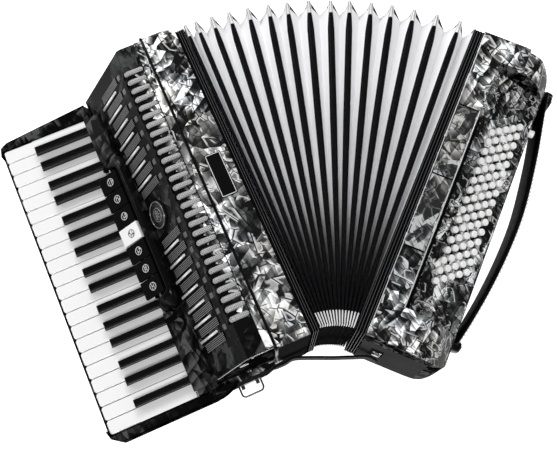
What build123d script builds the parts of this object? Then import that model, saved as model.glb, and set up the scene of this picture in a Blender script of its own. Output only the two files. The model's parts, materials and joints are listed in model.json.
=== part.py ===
from build123d import *
import math
import os

# Piano accordion, 37 treble keys and 80 bass buttons, lying on its back with the front up (+Z).
# The bellows are drawn open like a fan at the top and strapped shut at the bottom.
# Each half is drawn in its own local frame: X points out of the bellows through that half,
# Y runs from the bottom end (0) to the top end, Z rises from the back (0) to the front.

# ---------------------------------------------------------------- driving dimensions (mm, degrees)
FAN_HALF = 23.27          # half of the opening angle between the two bellows frames
ROOT_GAP = 58.5           # distance between the two halves' local origins at the bottom end
LENGTH = 432.0            # length of the two bodies
DEPTH = 190.0             # depth of the bodies, back to front
PIVOT_Y = -3.0             # height above the bottom end of the line that the fan opens about

T_FRAME = (-2.0, 10.0)    # treble bellows frame, in local X
B_FRAME = (-8.0, 6.0)     # bass bellows frame, in local X
FRAME_WALL = 13.0

CASE_TOP = 440.0          # the treble case stands a little proud of its bellows frame at the top end
SEAM_X = -45.0            # treble case ends here, the grille starts a groove further out
GROOVE = 3.0
RIDGE = (-82.0, 188.0)    # where the grille turns down towards the keys
GRILLE_FOOT = (-146.0, 84.0)
GRILLE_Y = (3.0, 436.0)
GRILLE_T = 3.0
CASE_FLOOR = 66.0         # pallet board level
SLOTS, SLOT_PITCH, SLOT_FIRST, SLOT_W = 28, 12.8, 53.2, 8.0
BAR_Y = [53.0 + 20.9 * k for k in range(7)] + [271.6 + 20.9 * k for k in range(7)]

WHITE_PITCH = 18.75
WHITES = "GABCDEFGABCDEFGABCDEFG"      # from the top end down
KEY_TOP0 = 410.1                       # upper edge of the first white key
KEY_OUT, KEY_IN = -274.3, -157.0       # visible ends of the white keys
KEY_Z = 82.0
BLACK_TIP, BLACK_Z, BLACK_W = -232.7, 93.0, 9.5
BLACK_OFF = {"C": 2.0, "D": -2.0, "F": 5.0, "G": 0.0, "A": -5.0}
KEY_GAP = 0.4
AXLE = (-140.0, 66.0)
AXLE_R, AXLE_CLR = 2.0, 0.06

TAB_PITCH, TAB_MID, TAB_W = 25.5, 223.2, 24.0
TAB_IN, TAB_OUT = (-143.5, 122.0), (-169.5, 103.0)
TAB_T = 5.0
REG_AXLE = (-150.0, 107.0)

ROWS, COLS = 16, 5
ROW_PITCH, ROW_FIRST = 14.3, 101.5
COL_X = [62.0, 70.5, 79.0, 87.5, 96.0]
COL_SLANT = 7.6           # each button column starts this much nearer the top end
BOARD_A = (38.0, 168.7)   # upper surface of the button board, inner edge
BOARD_SLOPE = -0.545
BOARD_T = 3.0
BUTTON_R, BUTTON_CLR = 4.7, 0.4
RECESS_Y = (48.0, 398.0)

BELLOWS_IN, BELLOWS_OUT = 79.0, 510.0  # radii of the fan from its apex
FOLDS = [-21.72, -20.04, -17.61, -14.96, -12.08, -9.02, -6.17, -2.93,
         0.36, 3.24, 6.46, 9.6, 12.98, 16.45, 20.03]
APEX_Y = -ROOT_GAP / 2 / math.tan(math.radians(FAN_HALF))

# ---------------------------------------------------------------- helpers


def box(x0, x1, y0, y1, z0, z1):
    return Pos((x0 + x1) / 2, (y0 + y1) / 2, (z0 + z1) / 2) * Box(x1 - x0, y1 - y0, z1 - z0)


def prism_y(pts, y0, y1):
    """A profile in X and Z carried along Y."""
    face = make_face(Polyline([(x, y0, z) for x, z in pts], close=True))
    return extrude(face, amount=y1 - y0, dir=(0, 1, 0))


def prism_z(pts, z0, z1):
    """A plan in X and Y carried along Z."""
    face = make_face(Polyline([(x, y, z0) for x, y in pts], close=True))
    return extrude(face, amount=z1 - z0, dir=(0, 0, 1))


def rod_y(x, z, y0, y1, r):
    return Pos(x, (y0 + y1) / 2, z) * Rot(90, 0, 0) * Cylinder(r, y1 - y0)


def rod_x(y, z, x0, x1, r):
    return Pos((x0 + x1) / 2, y, z) * Rot(0, 90, 0) * Cylinder(r, x1 - x0)


def rod_z(x, y, z0, z1, r):
    return Pos(x, y, (z0 + z1) / 2) * Cylinder(r, z1 - z0)


def soft(shape, edges, r):
    try:
        out = fillet(edges, r)
        if out.volume > 0:
            return out
    except Exception as err:
        print("fillet skipped", r, type(err).__name__)
    return shape


def slope_pt(s, off=0.0):
    """A point on the grille's steep face, s mm below the ridge and off mm outside it."""
    dx, dz = GRILLE_FOOT[0] - RIDGE[0], GRILLE_FOOT[1] - RIDGE[1]
    n = math.hypot(dx, dz)
    ux, uz = dx / n, dz / n
    return (RIDGE[0] + ux * s + uz * off, RIDGE[1] + uz * s - ux * off)


SLOPE_DEG = math.degrees(math.atan2(RIDGE[1] - GRILLE_FOOT[1], RIDGE[0] - GRILLE_FOOT[0]))


def board_z(x):
    return BOARD_A[1] + BOARD_SLOPE * (x - BOARD_A[0])


BOARD_TILT = math.degrees(math.atan(-BOARD_SLOPE))
nodes = {}
side = {}


def add(name, shapes, where):
    if not isinstance(shapes, (list, tuple)):
        shapes = [shapes]
    solids = []
    for s in shapes:
        solids += list(s.solids())
    nodes[name] = solids
    side[name] = where


# ---------------------------------------------------------------- treble half
ring = box(*T_FRAME, 0, LENGTH, 0, DEPTH)
ring = soft(ring, ring.edges().filter_by(Axis.X), 5)
ring -= box(T_FRAME[0] - 1, T_FRAME[1] + 1, FRAME_WALL, LENGTH - FRAME_WALL, FRAME_WALL, DEPTH - FRAME_WALL)
add("treble_bellows_frame", ring, "t")

# The case is a deep narrow box beside the bellows and a shallow box under the grille.
W = 5.0
deep = box(SEAM_X, T_FRAME[0], 0, CASE_TOP, 0, DEPTH)
deep = soft(deep, deep.edges().filter_by(Axis.X), 5)
deep -= box(SEAM_X + W, T_FRAME[0] + 1, W + 4, LENGTH - W - 4, W + 4, DEPTH - W - 4)
low = prism_z([(SEAM_X + 1, 0), (-62, -5), (-128, -5), (-128, GRILLE_Y[1]), (SEAM_X + 1, GRILLE_Y[1])], 0, CASE_FLOOR)
low = soft(low, low.edges().filter_by(Axis.X).group_by(Axis.Z)[0], 4)
low -= box(-128 + W, SEAM_X, W, GRILLE_Y[1] - W, W, CASE_FLOOR - W)
ends = box(-127, SEAM_X - GROOVE, GRILLE_Y[0], GRILLE_Y[0] + 3, CASE_FLOOR - 1, 80)
ends += box(-127, SEAM_X - GROOVE, GRILLE_Y[1] - 8, GRILLE_Y[1], CASE_FLOOR - 1, 80)
case = deep + low + ends
# air holes in the pallet board
for k in range(21):
    case -= box(-118, -104, 14 + 19.5 * k, 21 + 19.5 * k, CASE_FLOOR - W - 1, CASE_FLOOR + 1)
add("treble_case", case, "t")

# Grille: a bent sheet with closed ends.
outer = [(SEAM_X - GROOVE, DEPTH), (-77, DEPTH), RIDGE, GRILLE_FOOT, (GRILLE_FOOT[0], 80), (SEAM_X - GROOVE, 80)]
i0 = slope_pt(0, -GRILLE_T)
i1 = slope_pt(122, -GRILLE_T)
inner = [(SEAM_X, DEPTH - GRILLE_T), (-76, DEPTH - GRILLE_T), i0, (i1[0], i1[1]), (GRILLE_FOOT[0] + 3.4, 79), (SEAM_X, 79)]
grille = prism_y(outer, *GRILLE_Y)
ends_e = grille.edges().filter_by(lambda e: e.center().Y < GRILLE_Y[0] + .1 or e.center().Y > GRILLE_Y[1] - .1)
ends_e = ends_e.filter_by(lambda e: e.center().Z > 82 and e.center().X < SEAM_X - GROOVE - 1)
grille = soft(grille, ends_e, 2.4)
grille -= prism_y(inner, GRILLE_Y[0] + GRILLE_T, GRILLE_Y[1] - GRILLE_T)
cut_low = slope_pt(8.3, 8)
cut_in = slope_pt(8.3, -6)
slot_cut = [(-57, 200), (cut_low[0], 200), cut_low, cut_in, (-57, cut_in[1])]
cuts = []
for k in range(SLOTS):
    yc = SLOT_FIRST + SLOT_PITCH * k
    cuts.append(prism_y(slot_cut, yc - SLOT_W / 2, yc + SLOT_W / 2))
win = [slope_pt(24, 4), slope_pt(70, 4), slope_pt(70, -4), slope_pt(24, -4)]
WINDOWS = [BAR_Y[k] - 10.4 for k in range(7)] + [BAR_Y[6] + 10.4] + [BAR_Y[k] + 10.4 for k in range(7, 14)] + [BAR_Y[7] - 10.4]
WINDOWS = sorted(WINDOWS)
for yc in WINDOWS:
    cuts.append(prism_y(win, yc - 5.0, yc + 5.0))
grille -= cuts
add("treble_grille", grille, "t")

lou = [(-57.4, DEPTH + 1.2), (-77.6, DEPTH + 1.2), slope_pt(-0.4, 1.2), slope_pt(7.9, 1.2), slope_pt(7.9, -GRILLE_T),
       slope_pt(0, -GRILLE_T), (-76, DEPTH - GRILLE_T), (-57.4, DEPTH - GRILLE_T)]
add("grille_louvres", [prism_y(lou, SLOT_FIRST + SLOT_PITCH * k - SLOT_W / 2 + .3, SLOT_FIRST + SLOT_PITCH * k + SLOT_W / 2 - .3)
                       for k in range(SLOTS)], "t")
gz = [(SEAM_X - GROOVE - 1, DEPTH - 3), (-76, DEPTH - 3), i0, slope_pt(96, -3), slope_pt(96, -4), slope_pt(0, -4),
      (-75.6, DEPTH - 4), (SEAM_X - GROOVE - 1, DEPTH - 4)]
add("grille_gauze", prism_y(gz, GRILLE_Y[0] + 4, GRILLE_Y[1] - 4), "t")
bar = [slope_pt(39.5, 0), slope_pt(39.5, 1.6), slope_pt(83.5, 1.6), slope_pt(83.5, 0)]
add("grille_bars", [prism_y(bar, y - 1.5, y + 1.5) for y in BAR_Y], "t")
ec = slope_pt(58, 1.5)
add("grille_emblem", Pos(ec[0], 224.5, ec[1]) * Rot(0, -SLOPE_DEG, 0) * Cylinder(18.5, 3.0), "t")
plate = box(-33, -12, 196, 256, DEPTH, DEPTH + 1.5)
add("name_plate", soft(plate, plate.edges().filter_by(Axis.Z), 2), "t")

# Keyboard bed with its cheeks and outer rim.
BED = [(-279, 4), (-276, -7), (-266, -14.5), (-134, -14.5), (-134, -4.6), (-128, -4.6), (-128, 410.6), (-134, 410.6),
       (-150, 432), (-266, 421), (-276, 416), (-279, 404)]
bed = prism_z(BED, 38, 84)
bed = soft(bed, bed.edges().filter_by(Axis.Z).filter_by(lambda e: e.center().X < -260), 5)
bed = soft(bed, bed.edges().group_by(Axis.Z)[0].filter_by(lambda e: e.center().X < -180), 3)
bed -= box(-276.4, -100, -4.4, 410.6, 56, 100)
bed -= box(-300, -270, 4, 404, 67, 100)
bed -= box(-150, -100, 405, 440, 79, 100)
bed -= box(-134.5, -120, -30, -4.6, 30, 100) + box(-134.5, -120, 410.6, 450, 30, 100)
bed -= rod_y(*AXLE, -10, 418, AXLE_R + 0.03)
bed -= prism_z([(-150.2, 409), (-120, 409), (-120, 440), (-150.2, 440)], 79, 90)
add("keyboard_bed", bed, "t")
add("key_felt", box(-272, -262, -3, 409, 56, 57.0), "t")

# Keys, one node for each note name: the keys of one name are alike and each rocks on the common axle.
bound = [KEY_TOP0 - WHITE_PITCH * i for i in range(len(WHITES) + 1)]
blacks = {}
for i, n in enumerate(WHITES[:-1]):
    nxt = WHITES[i + 1]
    if (n, nxt) in (("C", "D"), ("D", "E"), ("F", "G"), ("G", "A"), ("A", "B")):
        blacks[i + 1] = (n, bound[i + 1] + BLACK_OFF[n])
keys = {}
HB = BLACK_W / 2 + 0.6
for i, n in enumerate(WHITES):
    hi, lo = bound[i] - KEY_GAP, bound[i + 1] + KEY_GAP
    shi = blacks[i][1] - HB if i in blacks else hi
    slo = blacks[i + 1][1] + HB if i + 1 in blacks else lo
    shi, slo = min(shi, hi), max(slo, lo)
    head = box(KEY_OUT, BLACK_TIP - 1.2, lo, hi, 62, KEY_Z)
    head = soft(head, head.edges().filter_by(Axis.Z).group_by(Axis.X)[0], 3.5)
    head = soft(head, head.edges().group_by(Axis.Z)[-1].filter_by(lambda e: e.center().X < KEY_OUT + 5), 1.6)
    stem = box(BLACK_TIP - 1.3, KEY_IN, slo, shi, 62, KEY_Z)
    tail = box(KEY_IN - .1, -132, slo, shi, 61, 76)
    mid = max((slo + shi) / 2, 12.0)
    arm = box(-132.1, -96, mid - 1.2, mid + 1.2, 70.5, 74)
    pal = box(-125, -97, mid - 4.2, mid + 4.2, 66.2, 72)
    k = head + stem + tail + arm + pal
    k -= rod_y(*AXLE, slo - 1, shi + 1, AXLE_R + AXLE_CLR)
    keys.setdefault(n, []).append(k)
for j, (n, yc) in blacks.items():
    h = BLACK_W / 2
    sec = prism_z([(BLACK_TIP, yc - h), (BLACK_TIP, yc + h), (KEY_IN, yc + h), (KEY_IN, yc - h)], 64, BLACK_Z)
    e = sec.edges().group_by(Axis.Z)[-1]
    sec = soft(sec, e.filter_by(lambda q: q.center().X < KEY_IN - 1), 1.8)
    tail = box(KEY_IN - .1, -132, yc - 3.2, yc + 3.2, 61, 78)
    arm = box(-132.1, -66, yc - 1.2, yc + 1.2, 77.2, 78) + box(-132.1, -66, yc - 1.2, yc + 1.2, 78, 82) + box(-68, -64, yc - 1.2, yc + 1.2, 70, 82)
    pal = box(-90, -62, yc - 5, yc + 5, 66.2, 72)
    k = sec + tail + arm + pal
    k -= rod_y(*AXLE, yc - 5, yc + 5, AXLE_R + AXLE_CLR)
    keys.setdefault(n + "_sharp", []).append(k)
for n in ("C", "C_sharp", "D", "D_sharp", "E", "F", "F_sharp", "G", "G_sharp", "A", "A_sharp", "B"):
    add("key_" + n.lower(), keys[n], "t")

# Register switches on a rocking axle.
RY = (TAB_MID - 3.5 * TAB_PITCH - 22, TAB_MID + 3.5 * TAB_PITCH + 22)
fz2 = 84 + (146 - 131) * (RIDGE[1] - GRILLE_FOOT[1]) / (RIDGE[0] - GRILLE_FOOT[0])
fz = 84 + (146 - 134) * (RIDGE[1] - GRILLE_FOOT[1]) / (RIDGE[0] - GRILLE_FOOT[0])
f85 = -146 + 2.0 * (RIDGE[0] - GRILLE_FOOT[0]) / (RIDGE[1] - GRILLE_FOOT[1])
hpts = [(-131, fz2), (-131, 121), (-133, 124), (-136, 125.2), (-138.6, 123.5), (-138.6, 106), (-156.6, 94.5), (-156.6, 86), (f85, 86)]
house = prism_y(hpts, *RY)
cheek = [(-131, fz2), (-131, 121), (-133, 124), (-136, 125.2), (-147, 120.5), (-160, 108), (-160, 97), (-156.6, 94.5), (-156.6, 86), (f85, 86)]
house += prism_y(cheek, RY[0], RY[0] + 20) + prism_y(cheek, RY[1] - 20, RY[1])
# both ends slope down to the case
for ya, yb in ((RY[0], RY[0] + 20), (RY[1], RY[1] - 20)):
    wedge = make_face(Polyline([(-165, ya - math.copysign(1, yb - ya), 98), (-165, ya - math.copysign(1, yb - ya), 130),
                                (-165, yb, 130), (-165, ya + 0.55 * (yb - ya), 121), (-165, ya, 104)], close=True))
    house -= extrude(wedge, amount=40, dir=(1, 0, 0))
house = soft(house, house.edges().filter_by(Axis.Y).filter_by(lambda e: e.center().Z > 122), 1.5)
house -= rod_y(*REG_AXLE, RY[0] + 16, RY[1] - 16, 1.53)
add("register_housing", house, "t")
add("axle_rods", [rod_y(*AXLE, -9.5, 415, AXLE_R), rod_y(*REG_AXLE, RY[0] + 16.2, RY[1] - 16.2, 1.5)], "t")
# The key slip: a thin moulding along the foot of the grille that covers the inner ends of the keys.
slip = [slope_pt(85, .2), slope_pt(103.5, .2), (-157.0, 94.6), (-157.9, 95.6), (-157.0, 96.8), slope_pt(102.5, 2.0), slope_pt(85, 1.4)]
add("key_slip", [prism_y(slip, 4, RY[0] - .3), prism_y(slip, RY[1] + .3, 404)], "t")
tdx, tdz = TAB_OUT[0] - TAB_IN[0], TAB_OUT[1] - TAB_IN[1]
tn = math.hypot(tdx, tdz)
tnx, tnz = -tdz / tn, tdx / tn        # points down into the switch
if tnz > 0:
    tnx, tnz = -tnx, -tnz
for k in range(7):
    yc = TAB_MID + TAB_PITCH * (3 - k)
    a, b = TAB_IN, TAB_OUT
    body = prism_y([a, b, (b[0] + tnx * TAB_T, b[1] + tnz * TAB_T), (a[0] + tnx * TAB_T, a[1] + tnz * TAB_T)],
                   yc - TAB_W / 2, yc + TAB_W / 2)
    body = soft(body, body.edges().filter_by(lambda e: abs(e.center().Y - yc) > TAB_W / 2 - .1 and e.center().Z > 104), 1.2)
    mx = REG_AXLE[0]
    body += rod_y(*REG_AXLE, yc - 4, yc + 4, 3.4) + box(mx - 2, mx + 2, yc - 4, yc + 4, REG_AXLE[1], REG_AXLE[1] + 6)
    body -= rod_y(*REG_AXLE, yc - 9, yc + 9, 1.56)
    add("register_%d" % (k + 1), body, "t")

blocks, plates = [], []
for zc in (45, 95, 145):
    blocks.append(box(SEAM_X + W, 6, 24, 408, zc - 9, zc + 9))
    for s in (-1, 1):
        for k in range(8):
            y0 = 30 + 47 * k
            plates.append(box(-34, 2, y0, y0 + 40, zc + s * 9 if s > 0 else zc - 11, zc + 11 if s > 0 else zc - 9))
add("treble_reed_blocks", blocks, "t")
add("treble_reed_plates", plates, "t")

# Shoulder strap loops: one under the bottom end, two at the top end.


def bracket(x, y, z, out, h, base):
    """A saddle on an end face; out is -1 at the bottom end and +1 at the top end, h is half the ring's width."""
    b = box(x - h - 1, x + h + 1, min(y, y + out * base), max(y, y + out * base), z - 8, z + 8)
    for s in (-1, 1):
        lx = x + s * (h - 5)
        b += box(lx - 2.5, lx + 2.5, min(y + out * (base - .2), y + out * (base + 5.5)), max(y + out * (base - .2), y + out * (base + 5.5)), z - 3.5, z + 3.5)
    return b - rod_x(y + out * (base + 2.6), z, x - 30, x + 30, RING_R + 0.06)


def d_ring(x, y, z, out, h, base, reach):
    yc = y + out * (base + 2.6)
    ye = yc + out * reach
    r = RING_R
    ring = rod_x(yc, z, x - h, x + h, r) + rod_x(ye, z, x - h, x + h, r)
    for s in (-1, 1):
        ring += Pos(x + s * h, (yc + ye) / 2, z) * Rot(90, 0, 0) * Cylinder(r, abs(ye - yc))
        ring += Pos(x + s * h, yc, z) * Sphere(r) + Pos(x + s * h, ye, z) * Sphere(r)
    return ring


RING_R = 1.5
TOP_Y = CASE_TOP
add("strap_saddles", [bracket(-88.5, -5, 20, -1, 15.5, 1.6), bracket(-100, GRILLE_Y[1], 30, 1, 15.5, TOP_Y - GRILLE_Y[1] + 1.6),
                      bracket(-23, CASE_TOP, 30, 1, 15.5, 1.6)], "t")
add("strap_ring_bottom", d_ring(-88.5, -5, 20, -1, 15.5, 1.6, 13.0), "t")
add("strap_rings_top", [d_ring(-100, TOP_Y, 30, 1, 15.5, 1.6, 15.0), d_ring(-23, TOP_Y, 30, 1, 15.5, 1.6, 15.0)], "t")

# ---------------------------------------------------------------- bellows
def fan(a0, a1, r0, r1, z0, z1, n=24):
    t = [a0 + (a1 - a0) * i / n for i in range(n + 1)]
    pts = [(r1 * math.sin(math.radians(a)), APEX_Y + r1 * math.cos(math.radians(a))) for a in t]
    pts += [(r0 * math.sin(math.radians(a)), APEX_Y + r0 * math.cos(math.radians(a))) for a in reversed(t)]
    return prism_z(pts, z0, z1)


def t_world(x, y):
    c, s = math.cos(math.radians(FAN_HALF)), math.sin(math.radians(FAN_HALF))
    return (c * x - s * y - ROOT_GAP / 2, s * x + c * y)


def b_world(x, y):
    c, s = math.cos(math.radians(FAN_HALF)), -math.sin(math.radians(FAN_HALF))
    return (c * x - s * y + ROOT_GAP / 2, s * x + c * y)


bf = fan(-FAN_HALF, FAN_HALF, BELLOWS_IN, BELLOWS_OUT, 2, DEPTH - 2)
bf -= fan(-FAN_HALF + 0.01, FAN_HALF - 0.01, BELLOWS_IN + 20, BELLOWS_OUT - 20, 22, DEPTH - 22)
far = 700
tcut = prism_z([t_world(T_FRAME[1], -100), t_world(T_FRAME[1], far), t_world(-300, far), t_world(-300, -100)], -10, DEPTH + 10)
bcut = prism_z([b_world(B_FRAME[0], -100), b_world(B_FRAME[0], far), b_world(300, far), b_world(300, -100)], -10, DEPTH + 10)
bf = bf - tcut - bcut
add("bellows_folds", bf, "w")
# One thin metal cap on each corner of each fold: front and back, outer and inner end.
corners = []
CAP_W = 1.0
low_a = (-FAN_HALF + math.degrees(math.asin(T_FRAME[1] / BELLOWS_IN)) + 1.9, FAN_HALF - math.degrees(math.asin(-B_FRAME[0] / BELLOWS_IN)) - 1.9)
for i, a in enumerate(FOLDS):
    al = low_a[0] + (low_a[1] - low_a[0]) * i / (len(FOLDS) - 1)
    for ang, r0, r1 in ((al, BELLOWS_IN + 1, BELLOWS_IN + 16), (a, BELLOWS_OUT - 26, BELLOWS_OUT - 1)):
        for z0, z1 in ((DEPTH - 2, DEPTH - 1), (1, 2)):
            corners.append(Rot(0, 0, 0) * Pos(0, APEX_Y, 0) * Rot(0, 0, -ang) * box(-CAP_W, CAP_W, r0, r1, z0, z1))
add("bellows_corners", corners, "w")

# Bottom bellows strap, snapped from one half to the other, and the loose top strap folded back on its stud.
sb = prism_z([t_world(-52, -9.5), t_world(-52, -6.5), t_world(-20, -6.5), (-24, -20.5), (24, -20.5), b_world(20, -6.5),
              b_world(34, -6.5), b_world(34, -9.5), b_world(19, -9.5), (25, -23.5), (-25, -23.5), t_world(-21, -9.5)], 92, 118)
add("bellows_strap_bottom", sb, "w")
add("strap_studs", [Pos(-46, -3.2, 105) * Rot(90, 0, 0) * Cylinder(5, 6.4),
                    Pos(-16, CASE_TOP + 1.7, 112) * Rot(90, 0, 0) * Cylinder(5, 3.4)], "t")
add("strap_stud_bass", Pos(29, -3.2, 105) * Rot(90, 0, 0) * Cylinder(5, 6.4), "b")
add("bellows_strap_top", box(-44, -4, CASE_TOP + 3.4, CASE_TOP + 6.4, 100, 124), "t")

# ---------------------------------------------------------------- bass half
ring = box(*B_FRAME, 0, LENGTH, 0, DEPTH)
ring = soft(ring, ring.edges().filter_by(Axis.X), 5)
ring -= box(B_FRAME[0] - 1, B_FRAME[1] + 1, FRAME_WALL, LENGTH - FRAME_WALL, FRAME_WALL, DEPTH - FRAME_WALL)
add("bass_bellows_frame", ring, "b")

X0 = B_FRAME[1]
arc = [(78, 0), (99, 11), (112, 40), (118, 82), (115, 116), (108, 142), (97, 163), (81, 178), (60, 186.5), (40, 190)]
y0 = 0
curve = Spline([(x, y0, z) for x, z in arc], tangents=[(1, 0, 0.05), (-1, 0, 0.0)])
rest = Polyline([(40, y0, 190), (X0, y0, 190), (X0, y0, 0), (78, y0, 0)])
bass_outer = extrude(make_face(Wire([*curve.edges(), *rest.edges()])), amount=LENGTH, dir=(0, 1, 0))
PR = 26
planpts = [(X0, 0), (118.5 - PR, 0)]
planpts += [(118.5 - PR + PR * math.sin(math.radians(t)), PR - PR * math.cos(math.radians(t))) for t in range(10, 91, 10)]
planpts += [(118.5 - PR + PR * math.cos(math.radians(t)), LENGTH - PR + PR * math.sin(math.radians(t))) for t in range(0, 81, 10)]
planpts += [(118.5 - PR, LENGTH), (X0, LENGTH)]
bass_outer &= prism_z(planpts, -1, DEPTH + 1)
inner_p = [(X0 - 1, 8), (74, 8), (93, 18), (104, 44), (110, 82), (107, 108), (102, 123), (44, 156), (34, 156), (34, 183), (X0 - 1, 183)]
recess = prism_y([(BOARD_A[0], 210), (BOARD_A[0], board_z(BOARD_A[0]) - BOARD_T), (140, board_z(140) - BOARD_T), (140, 210)], *RECESS_Y)
window = prism_y([(46, 175), (46, 130), (104, 100), (104, 160)], RECESS_Y[0] + 10, RECESS_Y[1] - 10)
bcase = bass_outer - recess - prism_y(inner_p, 8, LENGTH - 8) - window
back_cut = box(14, 70, 22, 410, -1, 3) + box(22, 62, 30, 402, -1, 20)
bcase -= back_cut
add("bass_case", bcase, "b")
bp = box(14.3, 69.7, 22.3, 409.7, 0, 3)
add("bass_back_plate", bp, "b")

bx1 = 111.2
board = prism_y([(BOARD_A[0] + .2, board_z(BOARD_A[0] + .2)), (bx1, board_z(bx1)), (bx1, board_z(bx1) - BOARD_T),
                 (BOARD_A[0] + .2, board_z(BOARD_A[0] + .2) - BOARD_T)], RECESS_Y[0] + .3, RECESS_Y[1] - .3)


def button_at(x, y):
    return Pos(x, y, board_z(x)) * Rot(0, BOARD_TILT, 0)


holes = []
rows = []
for c, x in enumerate(COL_X):
    row = []
    for r in range(ROWS):
        y = ROW_FIRST + ROW_PITCH * r + COL_SLANT * c
        holes.append(button_at(x, y) * Cylinder(BUTTON_R + BUTTON_CLR, 14))
        b = button_at(x, y) * Pos(0, 0, -2.5) * Cylinder(BUTTON_R, 15)
        b = soft(b, b.edges().filter_by(GeomType.CIRCLE).group_by(Axis.Z)[-1], 1.3)
        row.append(b)
    rows.append(row)
board -= holes
AIR = (350.0, 124.0)
board -= rod_x(*AIR, 98, 130, 5.9)
add("button_board", board, "b")
for c, n in enumerate(("counterbass", "bass", "major", "minor", "seventh")):
    add("buttons_" + n, rows[c], "b")

air = rod_x(*AIR, 112.0, 119.5, 5.2)
bc = bcase - rod_x(*AIR, 100, 130, 5.6)
add("bass_case", bc, "b")
air = soft(air, air.edges().filter_by(GeomType.CIRCLE).group_by(Axis.X)[-1], 1.5)
add("air_button", air, "b")

panels = [box(9, 35, 121.5, 220.0, DEPTH, DEPTH + .8), box(9, 35, 222.0, 320.5, DEPTH, DEPTH + .8)]
add("bass_front_panels", panels, "b")
add("bass_trim", [box(36.0, 37.6, 47, 322, DEPTH - .6, DEPTH + .9)], "b")
case_cut = box(36.0, 38.5, 47, 322, DEPTH - .6, DEPTH + 5)
add("bass_case", bc - case_cut, "b")
add("bass_reed_blocks", [box(X0 - 4, 30, 24, 408, z - 9, z + 9) for z in (45, 95, 140)], "b")
add("bass_mechanism", [rod_y(x, z, 10, LENGTH - 10, 2.0) for x, z in ((44, 60), (56, 60), (68, 60), (80, 60), (50, 80), (62, 80), (74, 80))], "b")

# Hand strap: a padded band standing off the outer side, held by a block at each end.
S_OUT = [(120.0, 424.0), (126.0, 385.0), (135.5, 325.0), (143.0, 250.0), (142.0, 190.0), (136.0, 130.0), (127.5, 80.0), (120.0, 46.0)]
TH = 7.5
out_c = Spline([(x, y, 58) for x, y in S_OUT])
in_pts = []
for i, (x, y) in enumerate(S_OUT):
    a = S_OUT[max(0, i - 1)]
    b = S_OUT[min(len(S_OUT) - 1, i + 1)]
    d = (b[0] - a[0], b[1] - a[1])
    n = math.hypot(*d)
    in_pts.append((x + d[1] / n * TH, y - d[0] / n * TH, 58))
in_c = Spline(in_pts)
capa = Line(out_c @ 0, in_c @ 0)
capb = Line(out_c @ 1, in_c @ 1)
band = extrude(make_face(Wire([*out_c.edges(), *capb.edges(), *in_c.edges(), *capa.edges()])), amount=56, dir=(0.05, 0, 1))
up_blk = box(112, 131, 411, 429, 69, 101)
up_blk = soft(up_blk, up_blk.edges().filter_by(Axis.Z).filter_by(lambda e: e.center().X > 125), 4)
up_blk -= bass_outer
lo_blk = box(112, 129, 40, 55, 71, 99)
lo_blk = soft(lo_blk, lo_blk.edges().filter_by(Axis.Z).filter_by(lambda e: e.center().X > 125), 4)
lo_blk -= bass_outer
band = band - up_blk - lo_blk - bass_outer
band_s = sorted(band.solids(), key=lambda s: -s.volume)
add("hand_strap", [band_s[0]], "b")
up_blk -= rod_y(124.0, 85, 423, 440, 3.04)
add("strap_blocks", [up_blk, lo_blk], "b")
wheel = rod_y(124.0, 85, 424, 429.3, 3.0) + rod_y(124.0, 85, 429.3, 435, 8.0)
add("strap_wheel", wheel, "b")

# ---------------------------------------------------------------- placing
PLACE = {
    "t": Location((-ROOT_GAP / 2, 0, 0), (0, 0, FAN_HALF)),
    "b": Location((ROOT_GAP / 2, 0, 0), (0, 0, -FAN_HALF)),
    "w": Location((0, 0, 0)),
}
placed = {}
for name, solids in nodes.items():
    placed[name] = [PLACE[side[name]] * s for s in solids]
every = Compound([s for ss in placed.values() for s in ss])
bb = every.bounding_box()
cx, cy, cz = (bb.min.X + bb.max.X) / 2, (bb.min.Y + bb.max.Y) / 2, bb.min.Z
print("ORIGIN_SHIFT %.4f %.4f %.4f SIZE %.3f %.3f %.3f" % (cx, cy, cz, bb.size.X, bb.size.Y, bb.size.Z))
shift = Location((-cx, -cy, -cz))
os.makedirs("parts", exist_ok=True)
for name, ss in placed.items():
    moved = [shift * s for s in ss]
    shape = moved[0] if len(moved) == 1 else Compound(moved)
    shape.label = name
    export_step(shape, "parts/%s.step" % name)
for tag, at, frame in (("pivot", (0, PIVOT_Y, 0), "w"), ("key_axle", (AXLE[0], 200, AXLE[1]), "t"),
                       ("register_axle", (REG_AXLE[0], TAB_MID, REG_AXLE[1]), "t"),
                       ("ring_bottom", (-88.5, -9.2, 20), "t"), ("rings_top", (-60, TOP_Y + 4.2, 30), "t"),
                       ("wheel", (124.0, 428, 85), "b"), ("air", (115, AIR[0], AIR[1]), "b"),
                       ("button", (79, 220, board_z(79)), "b"), ("back_face", (-90, 200, 0), "t"),
                       ("hand_gap", (120, 235, 85), "b"), ("ring_gap", (-88.5, -16, 20), "t"),
                       ("ring_gap_top1", (-100, TOP_Y + 11, 30), "t"), ("ring_gap_top2", (-23, TOP_Y + 11, 30), "t")):
    q = (shift * PLACE[frame] * Location(at)).position
    print("ANCHOR %s %.4f %.4f %.4f" % (tag, q.X, q.Y, q.Z))
print(len(placed), "nodes")
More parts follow.
